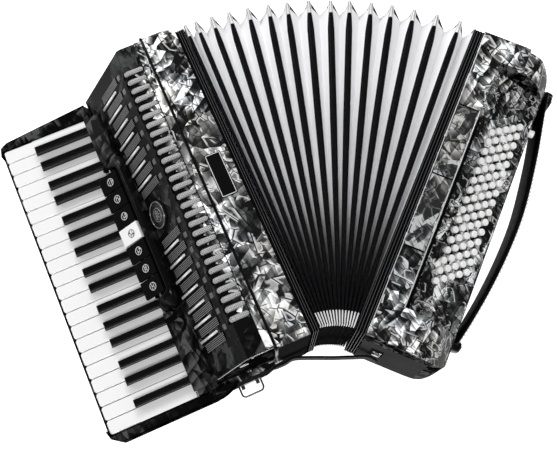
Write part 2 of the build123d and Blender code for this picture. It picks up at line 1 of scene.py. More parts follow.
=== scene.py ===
import bpy
import json
import math
import random
from mathutils import Vector, Matrix
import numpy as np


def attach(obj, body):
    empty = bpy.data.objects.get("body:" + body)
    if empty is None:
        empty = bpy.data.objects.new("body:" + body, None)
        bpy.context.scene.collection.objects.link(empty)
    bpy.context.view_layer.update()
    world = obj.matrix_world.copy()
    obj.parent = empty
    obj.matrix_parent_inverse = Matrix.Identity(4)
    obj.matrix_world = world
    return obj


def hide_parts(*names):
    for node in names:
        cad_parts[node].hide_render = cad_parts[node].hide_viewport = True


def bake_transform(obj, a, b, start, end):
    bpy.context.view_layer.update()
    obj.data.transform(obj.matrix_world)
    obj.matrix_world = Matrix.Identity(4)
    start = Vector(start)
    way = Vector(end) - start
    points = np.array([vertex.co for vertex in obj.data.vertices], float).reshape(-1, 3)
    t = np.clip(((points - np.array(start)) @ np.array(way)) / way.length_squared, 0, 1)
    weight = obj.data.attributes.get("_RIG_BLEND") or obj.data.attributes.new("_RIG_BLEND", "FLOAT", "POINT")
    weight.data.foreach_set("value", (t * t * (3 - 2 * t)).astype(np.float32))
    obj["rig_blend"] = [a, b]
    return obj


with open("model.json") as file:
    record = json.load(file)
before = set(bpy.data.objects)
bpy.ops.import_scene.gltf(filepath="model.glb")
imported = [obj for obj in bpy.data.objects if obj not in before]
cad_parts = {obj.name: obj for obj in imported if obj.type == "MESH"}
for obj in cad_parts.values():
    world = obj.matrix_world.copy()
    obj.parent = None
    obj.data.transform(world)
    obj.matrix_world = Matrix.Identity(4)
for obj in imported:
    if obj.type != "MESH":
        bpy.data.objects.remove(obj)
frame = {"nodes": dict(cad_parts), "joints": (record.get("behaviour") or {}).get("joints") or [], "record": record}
bpy.context.scene.view_settings.view_transform = "Standard"
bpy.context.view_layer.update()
NODES = frame["nodes"]
JOINTS = {j["name"]: j for j in frame["joints"]}

# ------------------------------------------------------------------ frames of the two halves
A = math.radians(23.27)
CA, SA = math.cos(A), math.sin(A)
PIV = JOINTS["bellows_fan"]["pos_m"]
OX, OY = PIV[0], PIV[1] + 0.003
HALF = 29.25
APEX = -HALF / math.tan(A)
DEPTH, LENGTH, TOPY = 190.0, 432.0, 436.0


def W(x, y, z):
    return Vector((x / 1000 + OX, y / 1000 + OY, z / 1000))


def T(x, y, z):
    return W(CA * x - SA * y - HALF, SA * x + CA * y, z)


def B(x, y, z):
    return W(CA * x + SA * y + HALF, -SA * x + CA * y, z)


TDIR = lambda x, y, z: Vector((CA * x - SA * y, SA * x + CA * y, z))
BDIR = lambda x, y, z: Vector((CA * x + SA * y, -SA * x + CA * y, z))

# ------------------------------------------------------------------ materials


class G:
    """A small helper for node materials."""

    def __init__(self, name):
        self.m = bpy.data.materials.new(name)
        self.m.use_nodes = True
        self.t = self.m.node_tree
        self.n = self.t.nodes
        self.b = next(x for x in self.n if x.type == "BSDF_PRINCIPLED")
        self.co = self.n.new("ShaderNodeTexCoord").outputs["Object"]

    def set(self, **kw):
        for k, v in kw.items():
            key = k.replace("_", " ")
            self.b.inputs[key].default_value = v
        return self

    def link(self, a, b):
        self.t.links.new(a, b)

    def mapping(self, scale=(1, 1, 1), rot=(0, 0, 0), loc=(0, 0, 0), src=None):
        n = self.n.new("ShaderNodeMapping")
        n.inputs["Scale"].default_value = scale
        n.inputs["Rotation"].default_value = rot
        n.inputs["Location"].default_value = loc
        self.link(src or self.co, n.inputs["Vector"])
        return n.outputs[0]

    def noise(self, scale, detail=2, rough=0.5, src=None, out="Fac", dist=0.0):
        n = self.n.new("ShaderNodeTexNoise")
        n.inputs["Scale"].default_value = scale
        n.inputs["Detail"].default_value = detail
        n.inputs["Roughness"].default_value = rough
        n.inputs["Distortion"].default_value = dist
        self.link(src or self.co, n.inputs["Vector"])
        return n.outputs[out]

    def voro(self, scale, feature="F1", out="Distance", src=None, rand=1.0, metric="EUCLIDEAN", detail=0.0):
        n = self.n.new("ShaderNodeTexVoronoi")
        n.feature = feature
        if feature != "DISTANCE_TO_EDGE":
            n.distance = metric
        n.inputs["Scale"].default_value = scale
        n.inputs["Randomness"].default_value = rand
        self.link(src or self.co, n.inputs["Vector"])
        self.last = n
        return n.outputs[out]

    def wave(self, scale, src=None, direction="X", profile="SIN", dist=0.0):
        n = self.n.new("ShaderNodeTexWave")
        n.bands_direction = direction
        n.wave_profile = profile
        n.inputs["Scale"].default_value = scale
        n.inputs["Distortion"].default_value = dist
        self.link(src or self.co, n.inputs["Vector"])
        return n.outputs["Fac"]

    def math(self, op, a, b=None, c=None, clamp=False):
        n = self.n.new("ShaderNodeMath")
        n.operation = op
        n.use_clamp = clamp
        for i, v in enumerate((a, b, c)):
            if v is None:
                continue
            if isinstance(v, (int, float)):
                n.inputs[i].default_value = v
            else:
                self.link(v, n.inputs[i])
        return n.outputs[0]

    def vmath(self, op, a, b=None, scale=None):
        n = self.n.new("ShaderNodeVectorMath")
        n.operation = op
        for i, v in enumerate((a, b)):
            if v is None:
                continue
            if isinstance(v, (tuple, list)):
                n.inputs[i].default_value = v
            else:
                self.link(v, n.inputs[i])
        if scale is not None:
            n.inputs["Scale"].default_value = scale
        return n.outputs["Value"] if op in ("DOT_PRODUCT", "LENGTH", "DISTANCE") else n.outputs["Vector"]

    def ramp(self, fac, stops, mode="LINEAR"):
        n = self.n.new("ShaderNodeValToRGB")
        n.color_ramp.interpolation = mode
        while len(n.color_ramp.elements) < len(stops):
            n.color_ramp.elements.new(0.5)
        for e, (p, c) in zip(n.color_ramp.elements, stops):
            e.position = p
            if isinstance(c, (int, float)):
                c = (c, c, c)
            e.color = (c[0], c[1], c[2], 1)
        self.link(fac, n.inputs["Fac"])
        return n.outputs["Color"]

    def mix(self, fac, a, b, kind="MIX"):
        n = self.n.new("ShaderNodeMix")
        n.data_type = "RGBA"
        n.blend_type = kind
        for key, v in (("Factor", fac), ("A", a), ("B", b)):
            sock = [s for s in n.inputs if s.name == key and s.type == ("VALUE" if key == "Factor" else "RGBA")][0]
            if isinstance(v, (int, float)) and key == "Factor":
                sock.default_value = v
            elif isinstance(v, (int, float)):
                sock.default_value = (v, v, v, 1)
            elif isinstance(v, tuple):
                sock.default_value = (v[0], v[1], v[2], 1)
            else:
                self.link(v, sock)
        return [s for s in n.outputs if s.type == "RGBA"][0]

    def bump(self, height, strength=0.3, dist=0.001, prev=None):
        n = self.n.new("ShaderNodeBump")
        n.inputs["Strength"].default_value = strength
        n.inputs["Distance"].default_value = dist
        self.link(height, n.inputs["Height"])
        if prev is not None:
            self.link(prev, n.inputs["Normal"])
        return n.outputs[0]

    def out(self, color=None, rough=None, normal=None, metal=None):
        if color is not None:
            self.link(color, self.b.inputs["Base Color"])
        if rough is not None:
            self.link(rough, self.b.inputs["Roughness"])
        if normal is not None:
            self.link(normal, self.b.inputs["Normal"])
        if metal is not None:
            self.link(metal, self.b.inputs["Metallic"])
        return self.m


def pearl(name, bright=1.0, bias=0.0, scale=1.0, base=0.006, top=0.95, loc=(0, 0, 0), spec=0.12, crease=1.0, side=0.16, fold=0.75, painted_shade_lean=0.0):
    """Crushed pearl celluloid: smoky grey ground, folded facets and slivers shaded from dark to bright, with creases here and there."""
    g = G(name)
    g.set(Metallic=0.0)
    src = g.mapping(loc=loc)
    warp = g.noise(16 * scale, 2, 0.5, src=src, out="Color")
    wv = g.vmath("SCALE", g.vmath("SUBTRACT", warp, (0.5, 0.5, 0.5)), scale=0.011 / scale)
    p = g.vmath("ADD", src, wv)

    def layer(freq, stretch, rot, steep):
        pm = g.mapping(scale=stretch, src=g.mapping(rot=rot, src=p))
        c = g.voro(freq, "F1", "Color", src=pm)
        vn = g.last
        sep = g.n.new("ShaderNodeSeparateColor")
        g.link(c, sep.inputs[0])
        d = g.vmath("SUBTRACT", pm, vn.outputs["Position"])
        rnd = g.vmath("NORMALIZE", g.vmath("SUBTRACT", c, (0.5, 0.5, 0.5)))
        grad = g.math("MULTIPLY", g.vmath("DOT_PRODUCT", d, rnd), steep * freq)
        return sep, grad, pm

    # big soft folds, middle facets, and long thin slivers in two directions
    sa, ga, pa = layer(26 * scale, (0.85, 1.5, 1.0), (0.1, 0.2, 0.55), 0.9)
    sb, gb, pb = layer(52 * scale, (0.60, 1.8, 1.0), (0.2, 0.1, 2.25), 0.9)
    sc, gc, pc = layer(84 * scale, (0.50, 2.0, 1.0), (0.1, 0.2, 1.05), 0.9)
    cloud = g.noise(9 * scale, 2, 0.5, src=src)
    busy = g.ramp(g.noise(13 * scale, 2, 0.5, src=src), [(0.36, 0.25), (0.60, 1.0)])
    v = g.math("MULTIPLY_ADD", sa.outputs[0], 0.30, 0.35 + bias)
    v = g.math("ADD", v, g.math("MULTIPLY", ga, 0.55))
    v = g.math("ADD", v, g.math("MULTIPLY", g.math("MULTIPLY_ADD", sb.outputs[0], 0.50, -0.25), busy))
    v = g.math("ADD", v, g.math("MULTIPLY", g.math("MULTIPLY", gb, 1.0), busy))
    v = g.math("ADD", v, g.math("MULTIPLY", g.math("MULTIPLY_ADD", sc.outputs[0], 0.44, -0.22), busy))
    v = g.math("ADD", v, g.math("MULTIPLY", g.math("MULTIPLY", gc, 0.62), busy))
    v = g.math("ADD", v, g.math("MULTIPLY_ADD", cloud, 1.3, -0.65))
    # painted shade: the pattern is darkened towards the bottom end (low Y) and lightened towards the top
    if painted_shade_lean:
        along = g.n.new("ShaderNodeSeparateXYZ")
        g.link(g.co, along.inputs[0])
        v = g.math("ADD", v, g.math("MULTIPLY", along.outputs[1], painted_shade_lean))
    col = g.ramp(v, [(0.0, base), (0.18, 0.022 * bright), (0.34, 0.065 * bright), (0.50, 0.155 * bright),
                     (0.64, 0.32 * bright), (0.76, 0.60 * bright), (0.88, top)])
    # creases, dark and straight, only where the foil is folded hard
    # sharp little folds: short dark lines, some of them with a bright flank on one side only
    for freq, sc3, rz, seed in ((58, (0.9, 1.3, 1.0), 0.7, 0.0), (44, (1.5, 0.8, 1.0), 1.9, 0.31)):
        q = g.mapping(scale=sc3, src=g.mapping(rot=(0.1, 0.2, rz), loc=(seed, seed, 0.0), src=p))
        ec = g.voro(freq * scale, "DISTANCE_TO_EDGE", "Distance", src=q)
        g.voro(freq * scale, "F1", "Color", src=q)
        pick = g.n.new("ShaderNodeSeparateColor")
        g.link(g.last.outputs["Color"], pick.inputs[0])
        here = g.ramp(g.noise(62 * scale, 1, 0.5, src=g.mapping(loc=(seed, 0.2, 0.1), src=src)), [(0.50, 0.0), (0.56, 1.0)])
        here = g.math("MULTIPLY", here, crease)
        lit = g.math("MULTIPLY", here, g.ramp(pick.outputs[0], [(0.58, 0.0), (0.62, 1.0)]))
        col = g.mix(g.math("MULTIPLY", g.math("MULTIPLY", lit, fold), g.ramp(ec, [(0.02, 0.0), (0.05, 0.9), (0.10, 0.6), (0.17, 0.0)])), col, (top * 0.9, top * 0.9, top * 0.9))
        col = g.mix(g.math("MULTIPLY", g.math("MULTIPLY", here, 0.9), g.ramp(ec, [(0.0, 1.0), (0.022, 0.85), (0.045, 0.0)])), col, (base, base, base))
    tint = g.ramp(sa.outputs[1], [(0.0, (0.93, 0.97, 1.0)), (1.0, (1.0, 0.985, 0.96))])
    col = g.mix(1.0, col, tint, "MULTIPLY")
    # painted shade: the film's colour is darkened round the turned edges and sides, by how far the normal turns from
    # straight up, and it is duller there than on the front
    geo = g.n.new("ShaderNodeNewGeometry")
    nz = g.n.new("ShaderNodeSeparateXYZ")
    g.link(geo.outputs["Normal"], nz.inputs[0])
    col = g.mix(1.0, col, g.ramp(nz.outputs[2], [(0.10, side), (0.80, 1.0)]), "MULTIPLY")
    rough = g.ramp(g.noise(260, 2), [(0.3, 0.12), (0.8, 0.24)])
    nrm = g.bump(g.math("ADD", g.math("MULTIPLY", ga, 0.6), cloud), 0.08, 0.002)
    out = g.out(col, rough, nrm)
    g.link(g.ramp(nz.outputs[2], [(0.30, 0.0), (0.90, spec)]), out.node_tree.nodes["Principled BSDF"].inputs["Specular IOR Level"])
    return out


def plastic(name, col, r0=0.12, r1=0.22, coat=0.4, grain=900, bump=0.05, var=0.15, metal=0.0):
    g = G(name)
    g.set(Coat_Weight=coat, Coat_Roughness=0.05, Metallic=metal)
    n = g.noise(14, 3)
    c0 = tuple(c * (1 - var) for c in col)
    c1 = tuple(min(1, c * (1 + var)) for c in col)
    color = g.ramp(n, [(0.3, c0), (0.7, c1)])
    smear = g.noise(45, 4, 0.6, src=g.mapping(scale=(0.4, 1.6, 1)))
    rough = g.ramp(smear, [(0.35, r0), (0.7, r1)])
    nrm = g.bump(g.noise(grain, 2), bump, 0.0004)
    return g.out(color, rough, nrm)


def metal(name, col, r0=0.12, r1=0.25, brush=(1, 1, 60), bump=0.05):
    g = G(name)
    g.set(Metallic=1.0)
    n = g.noise(40, 4, 0.6)
    c0 = tuple(c * 0.8 for c in col)
    color = g.ramp(n, [(0.3, c0), (0.7, col)])
    s = g.noise(60, 3, src=g.mapping(scale=brush))
    rough = g.ramp(s, [(0.3, r0), (0.75, r1)])
    return g.out(color, rough, g.bump(s, bump, 0.0003))


M = {}
# side sets the strength of the painted shade on the turned sides; lean sets a painted shade along Y, darker towards the
# bottom end
M["pearl"] = pearl("pearl", painted_shade_lean=0.25)
M["pearl_bed"] = pearl("pearl_bed", bright=0.095, bias=-0.10, base=0.002, top=0.07, scale=0.8, spec=0.05, crease=0.4, side=0.4, fold=0.15)
M["pearl_hump"] = pearl("pearl_hump", bright=0.06, bias=-0.06, base=0.002, top=0.035, scale=0.7, spec=0.10, crease=0.2, side=0.7, fold=0.15)
M["pearl_bass"] = pearl("pearl_bass", bias=0.015, loc=(0.13, 0.02, 0.0), painted_shade_lean=0.5)
M["pearl_board"] = pearl("pearl_board", bias=-0.10, scale=1.35, bright=0.8, loc=(0.4, 0.1, 0.0))
M["pearl_panel"] = pearl("pearl_panel", bright=0.80, bias=0.11, scale=1.0, base=0.020, top=0.42, fold=0.35)
M["black_gloss"] = plastic("black_gloss", (0.004, 0.004, 0.0045), 0.10, 0.20, coat=0.03)
M["black_satin"] = plastic("black_satin", (0.006, 0.006, 0.0065), 0.38, 0.5, coat=0.0, bump=0.12)
M["black_wood"] = plastic("black_lacquer", (0.003, 0.003, 0.0035), 0.24, 0.36, coat=0.0, grain=400, bump=0.05)
M["white_key"] = plastic("white_key", (0.80, 0.80, 0.80), 0.08, 0.16, coat=0.15, bump=0.01, var=0.015)
M["white_tab"] = plastic("white_tab", (0.82, 0.82, 0.82), 0.10, 0.2, coat=0.4, bump=0.02, var=0.03)
M["black_key"] = plastic("black_key", (0.0025, 0.0025, 0.003), 0.22, 0.36, coat=0.02, grain=600, bump=0.04)
M["black_key"].node_tree.nodes["Principled BSDF"].inputs["Specular IOR Level"].default_value = 0.22
M["white_button"] = plastic("white_button", (0.86, 0.86, 0.855), 0.08, 0.16, coat=0.4, bump=0.01, var=0.02)
M["board_plastic"] = M["pearl_board"]
M["end_satin"] = plastic("end_satin", (0.012, 0.012, 0.0125), 0.36, 0.5, coat=0.0, bump=0.1)
M["end_grey"] = plastic("end_grey", (0.040, 0.040, 0.041), 0.34, 0.46, coat=0.0, bump=0.1)
for nm in ("black_gloss", "black_satin", "black_wood", "black_key", "end_satin", "end_grey"):
    M[nm].node_tree.nodes["Principled BSDF"].inputs["Specular IOR Level"].default_value = 0.06 if nm in ("black_key", "black_gloss") else 0.0
M["steel"] = metal("steel", (0.62, 0.62, 0.63), 0.2, 0.35)
M["chrome"] = metal("chrome", (0.86, 0.87, 0.88), 0.06, 0.16, bump=0.02)
M["corner_metal"] = metal("corner_metal", (0.74, 0.74, 0.75), 0.28, 0.42, bump=0.03)
M["corner_metal"].node_tree.nodes["Principled BSDF"].inputs["Metallic"].default_value = 0.15
M["dark_chrome"] = metal("dark_chrome", (0.16, 0.16, 0.17), 0.16, 0.3, bump=0.03)
M["reed_metal"] = metal("reed_metal", (0.66, 0.66, 0.67), 0.3, 0.45)


def mesh_metal(name, col, dark, pitch=1.5):
    g = G(name)
    g.set(Metallic=0.2, Specular_IOR_Level=0.2)
    k = 1000.0 / pitch
    p = g.mapping(rot=(0, 0, math.radians(23.27 + 45)))
    s = g.n.new("ShaderNodeSeparateXYZ")
    g.link(p, s.inputs[0])
    wx = g.math("SINE", g.math("MULTIPLY", s.outputs[0], k * math.pi))
    wy = g.math("SINE", g.math("MULTIPLY", s.outputs[1], k * math.pi))
    h = g.math("MAXIMUM", g.math("ABSOLUTE", wx), g.math("ABSOLUTE", wy))
    f = g.ramp(h, [(0.35, 0.0), (0.75, 1.0)])
    spark = g.noise(700, 2)
    base = g.mix(spark, tuple(c * 0.55 for c in col), col)
    color = g.mix(f, dark, base)
    rough = g.ramp(spark, [(0.3, 0.22), (0.7, 0.4)])
    return g.out(color, rough, g.bump(h, 0.6, 0.0005))


def leather():
    g = G("leather")
    g.set(Specular_IOR_Level=0.04)
    v = g.voro(900, "F1", "Distance")
    n = g.noise(60, 4)
    h = g.math("ADD", v, g.math("MULTIPLY", n, 0.5))
    col = g.ramp(n, [(0.3, (0.001, 0.001, 0.0011)), (0.7, (0.0028, 0.0028, 0.003))])
    rough = g.ramp(v, [(0.1, 0.40), (0.6, 0.58)])
    return g.out(col, rough, g.bump(h, 0.5, 0.0005))


def cloth(name, c0, c1, pitch=0.9, r=(0.55, 0.75), bump=0.5):
    g = G(name)
    g.set(Specular_IOR_Level=0.0)
    k = 1000.0 / pitch
    s = g.n.new("ShaderNodeSeparateXYZ")
    g.link(g.mapping(rot=(0, 0, 0.4)), s.inputs[0])
    wx = g.math("SINE", g.math("MULTIPLY", s.outputs[0], k * math.pi))
    wy = g.math("SINE", g.math("MULTIPLY", s.outputs[1], k * math.pi))
    wz = g.math("SINE", g.math("MULTIPLY", s.outputs[2], k * math.pi))
    h = g.math("ADD", g.math("MULTIPLY", wx, wy), g.math("MULTIPLY", wz, 0.5))
    n = g.noise(300, 3)
    col = g.ramp(g.math("ADD", g.math("MULTIPLY", h, 0.25), n), [(0.3, c0), (0.75, c1)])
    rough = g.ramp(n, [(0.3, r[0]), (0.7, r[1])])
    return g.out(col, rough, g.bump(h, bump, 0.0003))


def card():
    g = G("bellows_card")
    g.set(Coat_Weight=0.05, Coat_Roughness=0.25, Specular_IOR_Level=0.2)
    n = g.noise(7, 3)
    col = g.ramp(n, [(0.3, (0.84, 0.84, 0.85)), (0.7, (0.90, 0.90, 0.905))])
    # painted shade: the card is darkened towards the closed end, where the folds are deep and narrow
    v = g.vmath("MULTIPLY", g.vmath("SUBTRACT", g.co, (OX, OY + APEX / 1000, 0)), (1, 1, 0))
    r = g.vmath("LENGTH", v)
    painted_fold_shade = g.ramp(r, [(0.081, 0.02), (0.092, 0.10), (0.14, 0.22), (0.18, 0.48), (0.23, 0.86), (0.28, 1.0)])
    col = g.mix(1.0, col, painted_fold_shade, "MULTIPLY")
    fine = g.noise(260, 4, 0.6)
    rough = g.ramp(fine, [(0.3, 0.30), (0.7, 0.46)])
    crease = g.noise(30, 2, src=g.mapping(scale=(1, 0.3, 1)))
    nrm = g.bump(crease, 0.10, 0.002)
    return g.out(col, rough, g.bump(fine, 0.06, 0.0003, nrm))


def tape():
    """Black bookbinding cloth with a fine lengthwise rib, running up the fan from its apex."""
    g = G("bellows_tape")
    v = g.vmath("SUBTRACT", g.co, (OX, OY + APEX / 1000, 0))
    s = g.n.new("ShaderNodeSeparateXYZ")
    g.link(v, s.inputs[0])
    ang = g.math("ARCTAN2", s.outputs[0], s.outputs[1])
    rib = g.math("SINE", g.math("MULTIPLY", ang, 2300.0))
    rz = g.math("SINE", g.math("MULTIPLY", s.outputs[2], 4200.0))
    n = g.noise(420, 3, 0.7)
    h = g.math("ADD", g.math("MULTIPLY", rib, 0.5), g.math("MULTIPLY_ADD", rz, 0.2, n))
    col = g.ramp(h, [(0.2, (0.002, 0.002, 0.0022)), (0.75, (0.011, 0.011, 0.012)), (1.2, (0.035, 0.035, 0.038))])
    rough = g.ramp(n, [(0.3, 0.34), (0.7, 0.55)])
    g.set(Specular_IOR_Level=0.0)
    return g.out(col, rough, g.bump(h, 0.5, 0.0004))


M["grille_metal"] = pearl("grille_pearl", bright=0.10, bias=-0.07, scale=0.8, base=0.004, top=0.045, spec=0.06, crease=0.3, side=0.5, fold=0.15)
M["silver_mesh"] = mesh_metal("silver_mesh", (0.46, 0.46, 0.46), (0.008, 0.008, 0.008), 2.1)
M["dark_mesh"] = mesh_metal("dark_mesh", (0.16, 0.16, 0.165), (0.008, 0.008, 0.008), 1.9)
M["gauze"] = cloth("gauze", (0.003, 0.003, 0.003), (0.007, 0.007, 0.007), 1.2, bump=0.3)
M["tape"] = tape()
M["bar_silver"] = plastic("bar_silver", (0.66, 0.66, 0.67), 0.24, 0.36, coat=0.2, metal=0.35, var=0.06)
M["rib_metal"] = plastic("rib_metal", (0.20, 0.20, 0.205), 0.30, 0.42, coat=0.0, metal=0.2, var=0.25)
M["bar_grey"] = plastic("bar_grey", (0.28, 0.28, 0.285), 0.2, 0.3, coat=0.2, metal=0.6, var=0.1)
# black for slots and dark grounds, and for the strips of painted shadow beside the bars, between the louvres and in the
# bass recess
M["slot_black"] = plastic("slot_black", (0.002, 0.002, 0.002), 0.5, 0.7, coat=0.0)
M["slot_black"].node_tree.nodes["Principled BSDF"].inputs["Specular IOR Level"].default_value = 0.02
M["felt"] = cloth("felt", (0.16, 0.01, 0.01), (0.30, 0.03, 0.03), 0.7)
M["leather"] = leather()
M["bellows_card"] = card()
M["thread"] = cloth("thread", (0.10, 0.10, 0.10), (0.22, 0.22, 0.22), 0.5)
M["badge"] = plastic("badge", (0.008, 0.008, 0.009), 0.25, 0.35, coat=0.0)
M["badge"].node_tree.nodes["Principled BSDF"].inputs["Specular IOR Level"].default_value = 0.15
M["badge_plate"] = plastic("badge_plate", (0.003, 0.003, 0.0035), 0.10, 0.18, coat=0.05)
M["badge_plate"].node_tree.nodes["Principled BSDF"].inputs["Specular IOR Level"].default_value = 0.1
M["print_white"] = plastic("print_white", (0.7, 0.7, 0.7), 0.3, 0.4, coat=0.0)


def wood():
    g = G("reed_wood")
    s = g.noise(30, 4, src=g.mapping(scale=(1, 0.1, 1), rot=(0, 0, A)))
    col = g.ramp(s, [(0.3, (0.42, 0.25, 0.11)), (0.7, (0.62, 0.42, 0.22))])
    return g.out(col, g.ramp(s, [(0.3, 0.35), (0.7, 0.5)]), g.bump(s, 0.2, 0.0004))


M["reed_wood"] = wood()
# grey for the painted sheen lines on the frame ridges
M["frame_line"] = plastic("frame_line", (0.075, 0.075, 0.077), 0.3, 0.42, coat=0.0)
M["frame_line"].node_tree.nodes["Principled BSDF"].inputs["Specular IOR Level"].default_value = 0.1

SLOT_OF = {s["node"]: s["material_slot"] for s in frame["record"]["subparts"]}
for name, obj in NODES.items():
    obj.data.materials.clear()
    obj.data.materials.append(M["pearl_bass" if name == "bass_case" else SLOT_OF[name]])

# ------------------------------------------------------------------ mesh building


class Mesh:
    def __init__(self):
        self.v, self.f, self.m = [], [], []

    def grid(self, rails, mat=0, wrap_u=False, wrap_v=False):
        """rails is a list of equally long rows of points; neighbouring rows are bridged."""
        base = len(self.v)
        n, k = len(rails), len(rails[0])
        for r in rails:
            self.v += [Vector(p) for p in r]
        for i in range(n if wrap_v else n - 1):
            i2 = (i + 1) % n
            for j in range(k if wrap_u else k - 1):
                j2 = (j + 1) % k
                self.f.append((base + i * k + j, base + i * k + j2, base + i2 * k + j2, base + i2 * k + j))
                self.m.append(mat)
        return base

    def poly(self, pts, mat=0):
        base = len(self.v)
        self.v += [Vector(p) for p in pts]
        self.f.append(tuple(range(base, base + len(pts))))
        self.m.append(mat)

    def tube(self, path, r, n=10, mat=0, closed=False, caps=True):
        rows = []
        m = len(path)
        up = None
        for i, p in enumerate(path):
            a = path[(i - 1) % m] if (closed or i) else path[0]
            b = path[(i + 1) % m] if (closed or i < m - 1) else path[-1]
            t = (Vector(b) - Vector(a)).normalized()
            if up is None:
                up = Vector((0, 0, 1)) if abs(t.z) < 0.9 else Vector((1, 0, 0))
            s = t.cross(up).normalized()
            up = s.cross(t).normalized()
            rr = r[i] if isinstance(r, (list, tuple)) else r
            rows.append([Vector(p) + (s * math.cos(2 * math.pi * j / n) + up * math.sin(2 * math.pi * j / n)) * rr for j in range(n)])
        base = self.grid(rows, mat, wrap_u=True, wrap_v=closed)
        if caps and not closed:
            self.f.append(tuple(reversed(range(base, base + n))))
            self.m.append(mat)
            e = base + (m - 1) * n
            self.f.append(tuple(range(e, e + n)))
            self.m.append(mat)

    def lathe(self, centre, ax, prof, n=32, mat=0):
        """prof is a list of (radius, height) from the axis outwards; ends on the axis are closed."""
        ax = Vector(ax).normalized()
        s = ax.orthogonal().normalized()
        t = ax.cross(s)
        rows = []
        for r, h in prof:
            r = max(r, 1e-6)
            rows.append([Vector(centre) + ax * h + (s * math.cos(2 * math.pi * j / n) + t * math.sin(2 * math.pi * j / n)) * r for j in range(n)])
        self.grid(rows, mat, wrap_u=True)

    def block(self, tf, x0, x1, y0, y1, z0, z1, mat=0):
        c = [tf(x, y, z) for z in (z0, z1) for y in (y0, y1) for x in (x0, x1)]
        base = len(self.v)
        self.v += c
        for q in ((0, 2, 3, 1), (4, 5, 7, 6), (0, 1, 5, 4), (2, 6, 7, 3), (0, 4, 6, 2), (1, 3, 7, 5)):
            self.f.append(tuple(base + i for i in q))
            self.m.append(mat)

    def prism(self, tf, prof, y0, y1, mat=0):
        """profile in X and Z, carried along Y, closed."""
        a = [tf(x, y0, z) for x, z in prof]
        b = [tf(x, y1, z) for x, z in prof]
        self.grid([a, b], mat, wrap_u=True)
        n = len(prof)
        e = len(self.v) - 2 * n
        self.f.append(tuple(reversed(range(e, e + n))))
        self.m.append(mat)
        self.f.append(tuple(range(e + n, e + 2 * n)))
        self.m.append(mat)

    def make(self, name, mats, slot, body=None, replaces=(), bevel=None, seg=2, smooth=40, merge=True, subsurf=0, solid=None):
        me = bpy.data.meshes.new(name)
        me.from_pydata([tuple(v) for v in self.v], [], self.f)
        mats = mats if isinstance(mats, (list, tuple)) else [mats]
        for m in mats:
            me.materials.append(M[m] if isinstance(m, str) else m)
        for p, i in zip(me.polygons, self.m):
            p.material_index = i
        ob = bpy.data.objects.new(name, me)
        bpy.context.scene.collection.objects.link(ob)
        import bmesh
        bm = bmesh.new()
        bm.from_mesh(me)
        if merge:
            bmesh.ops.remove_doubles(bm, verts=bm.verts, dist=2e-6)
        bmesh.ops.recalc_face_normals(bm, faces=bm.faces)
        bm.to_mesh(me)
        bm.free()
        if solid:
            md = ob.modifiers.new("thick", "SOLIDIFY")
            md.thickness = solid
        if bevel:
            md = ob.modifiers.new("edges", "BEVEL")
            md.width = bevel
            md.segments = seg
            md.limit_method = "ANGLE"
            md.angle_limit = math.radians(38)
            md.harden_normals = False
        if subsurf:
            md = ob.modifiers.new("smooth", "SUBSURF")
            md.levels = md.render_levels = subsurf
        if smooth:
            for p in me.polygons:
                p.use_smooth = True
            if smooth < 179:
                me.set_sharp_from_angle(angle=math.radians(smooth))
        if body:
            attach(ob, body)
        if replaces:
            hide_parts(*([replaces] if isinstance(replaces, str) else replaces))
        return ob


# ------------------------------------------------------------------ bellows
R_IN, R_OUT = 79.0, 509.0
RV = 24.0
Z_LO, Z_HI = 2.0, 188.0
TOP_ANG = [-21.72, -20.04, -17.61, -14.96, -12.08, -9.02, -6.17, -2.93, 0.36, 3.24, 6.46, 9.6, 12.98, 16.45, 20.03]
NP = len(TOP_ANG)


def phi0(r):
    return -A + math.asin(min(1, 10.0 / r))


def phi1(r):
    return A - math.asin(min(1, 8.0 / r))


LOW0, LOW1 = phi0(R_IN), phi1(R_IN)
step = (LOW1 - LOW0) / (NP + 1)


def line(at, ab):
    pb = (R_IN * math.sin(ab), R_IN * math.cos(ab))
    pt = (R_OUT * math.sin(at), R_OUT * math.cos(at))

    def f(r):
        k = (r - R_IN) / (R_OUT - R_IN)
        return (pb[0] + (pt[0] - pb[0]) * k, pb[1] + (pt[1] - pb[1]) * k)

    return f


peaks = [line(math.radians(a), LOW0 + step * (i + 1)) for i, a in enumerate(TOP_ANG)]
face0 = line(phi0(R_OUT), LOW0)
face1 = line(phi1(R_OUT), LOW1)
lines_all = [face0] + peaks + [face1]


def pt(l, r, u, z):
    x, y = l(r)
    a = math.atan2(x, y)
    return W(x + u * math.cos(a), y - u * math.sin(a) + APEX, z)


LOOP = [(R_IN, Z_HI, -1, 1)]
LOOP += [(r, Z_HI, 0, 1) for r in (106, 150, 210, 275, 345, 415, 470, 482, 489, 494, 501)]
LOOP += [(R_OUT, Z_HI, 1, 1)]
LOOP += [(R_OUT, z, 1, 0) for z in (158, 95, 32)]
LOOP += [(R_OUT, Z_LO, 1, -1)]
LOOP += [(r, Z_LO, 0, -1) for r in (501, 494, 489, 482, 470, 415, 345, 275, 210, 150, 106)]
LOOP += [(R_IN, Z_LO, -1, -1)]
LOOP += [(R_IN, z, -1, 0) for z in (32, 95, 158)]


def gap_at(i, r):
    """half the distance from peak i to its neighbours at radius r"""
    a, b = lines_all[i](r), lines_all[i + 2](r)
    return math.hypot(a[0] - b[0], a[1] - b[1]) / 4


def nose(i, r):
    return min(1.3, 0.42 * gap_at(i, r))


def tape_depth(r):
    return 7.6 + 2.6 * min(1.0, max(0.0, (460.0 - r) / 330.0))


def tape_half(i, r):
    g = gap_at(i, r)
    b = nose(i, r)
    return b + tape_depth(r) * (g - b) / RV


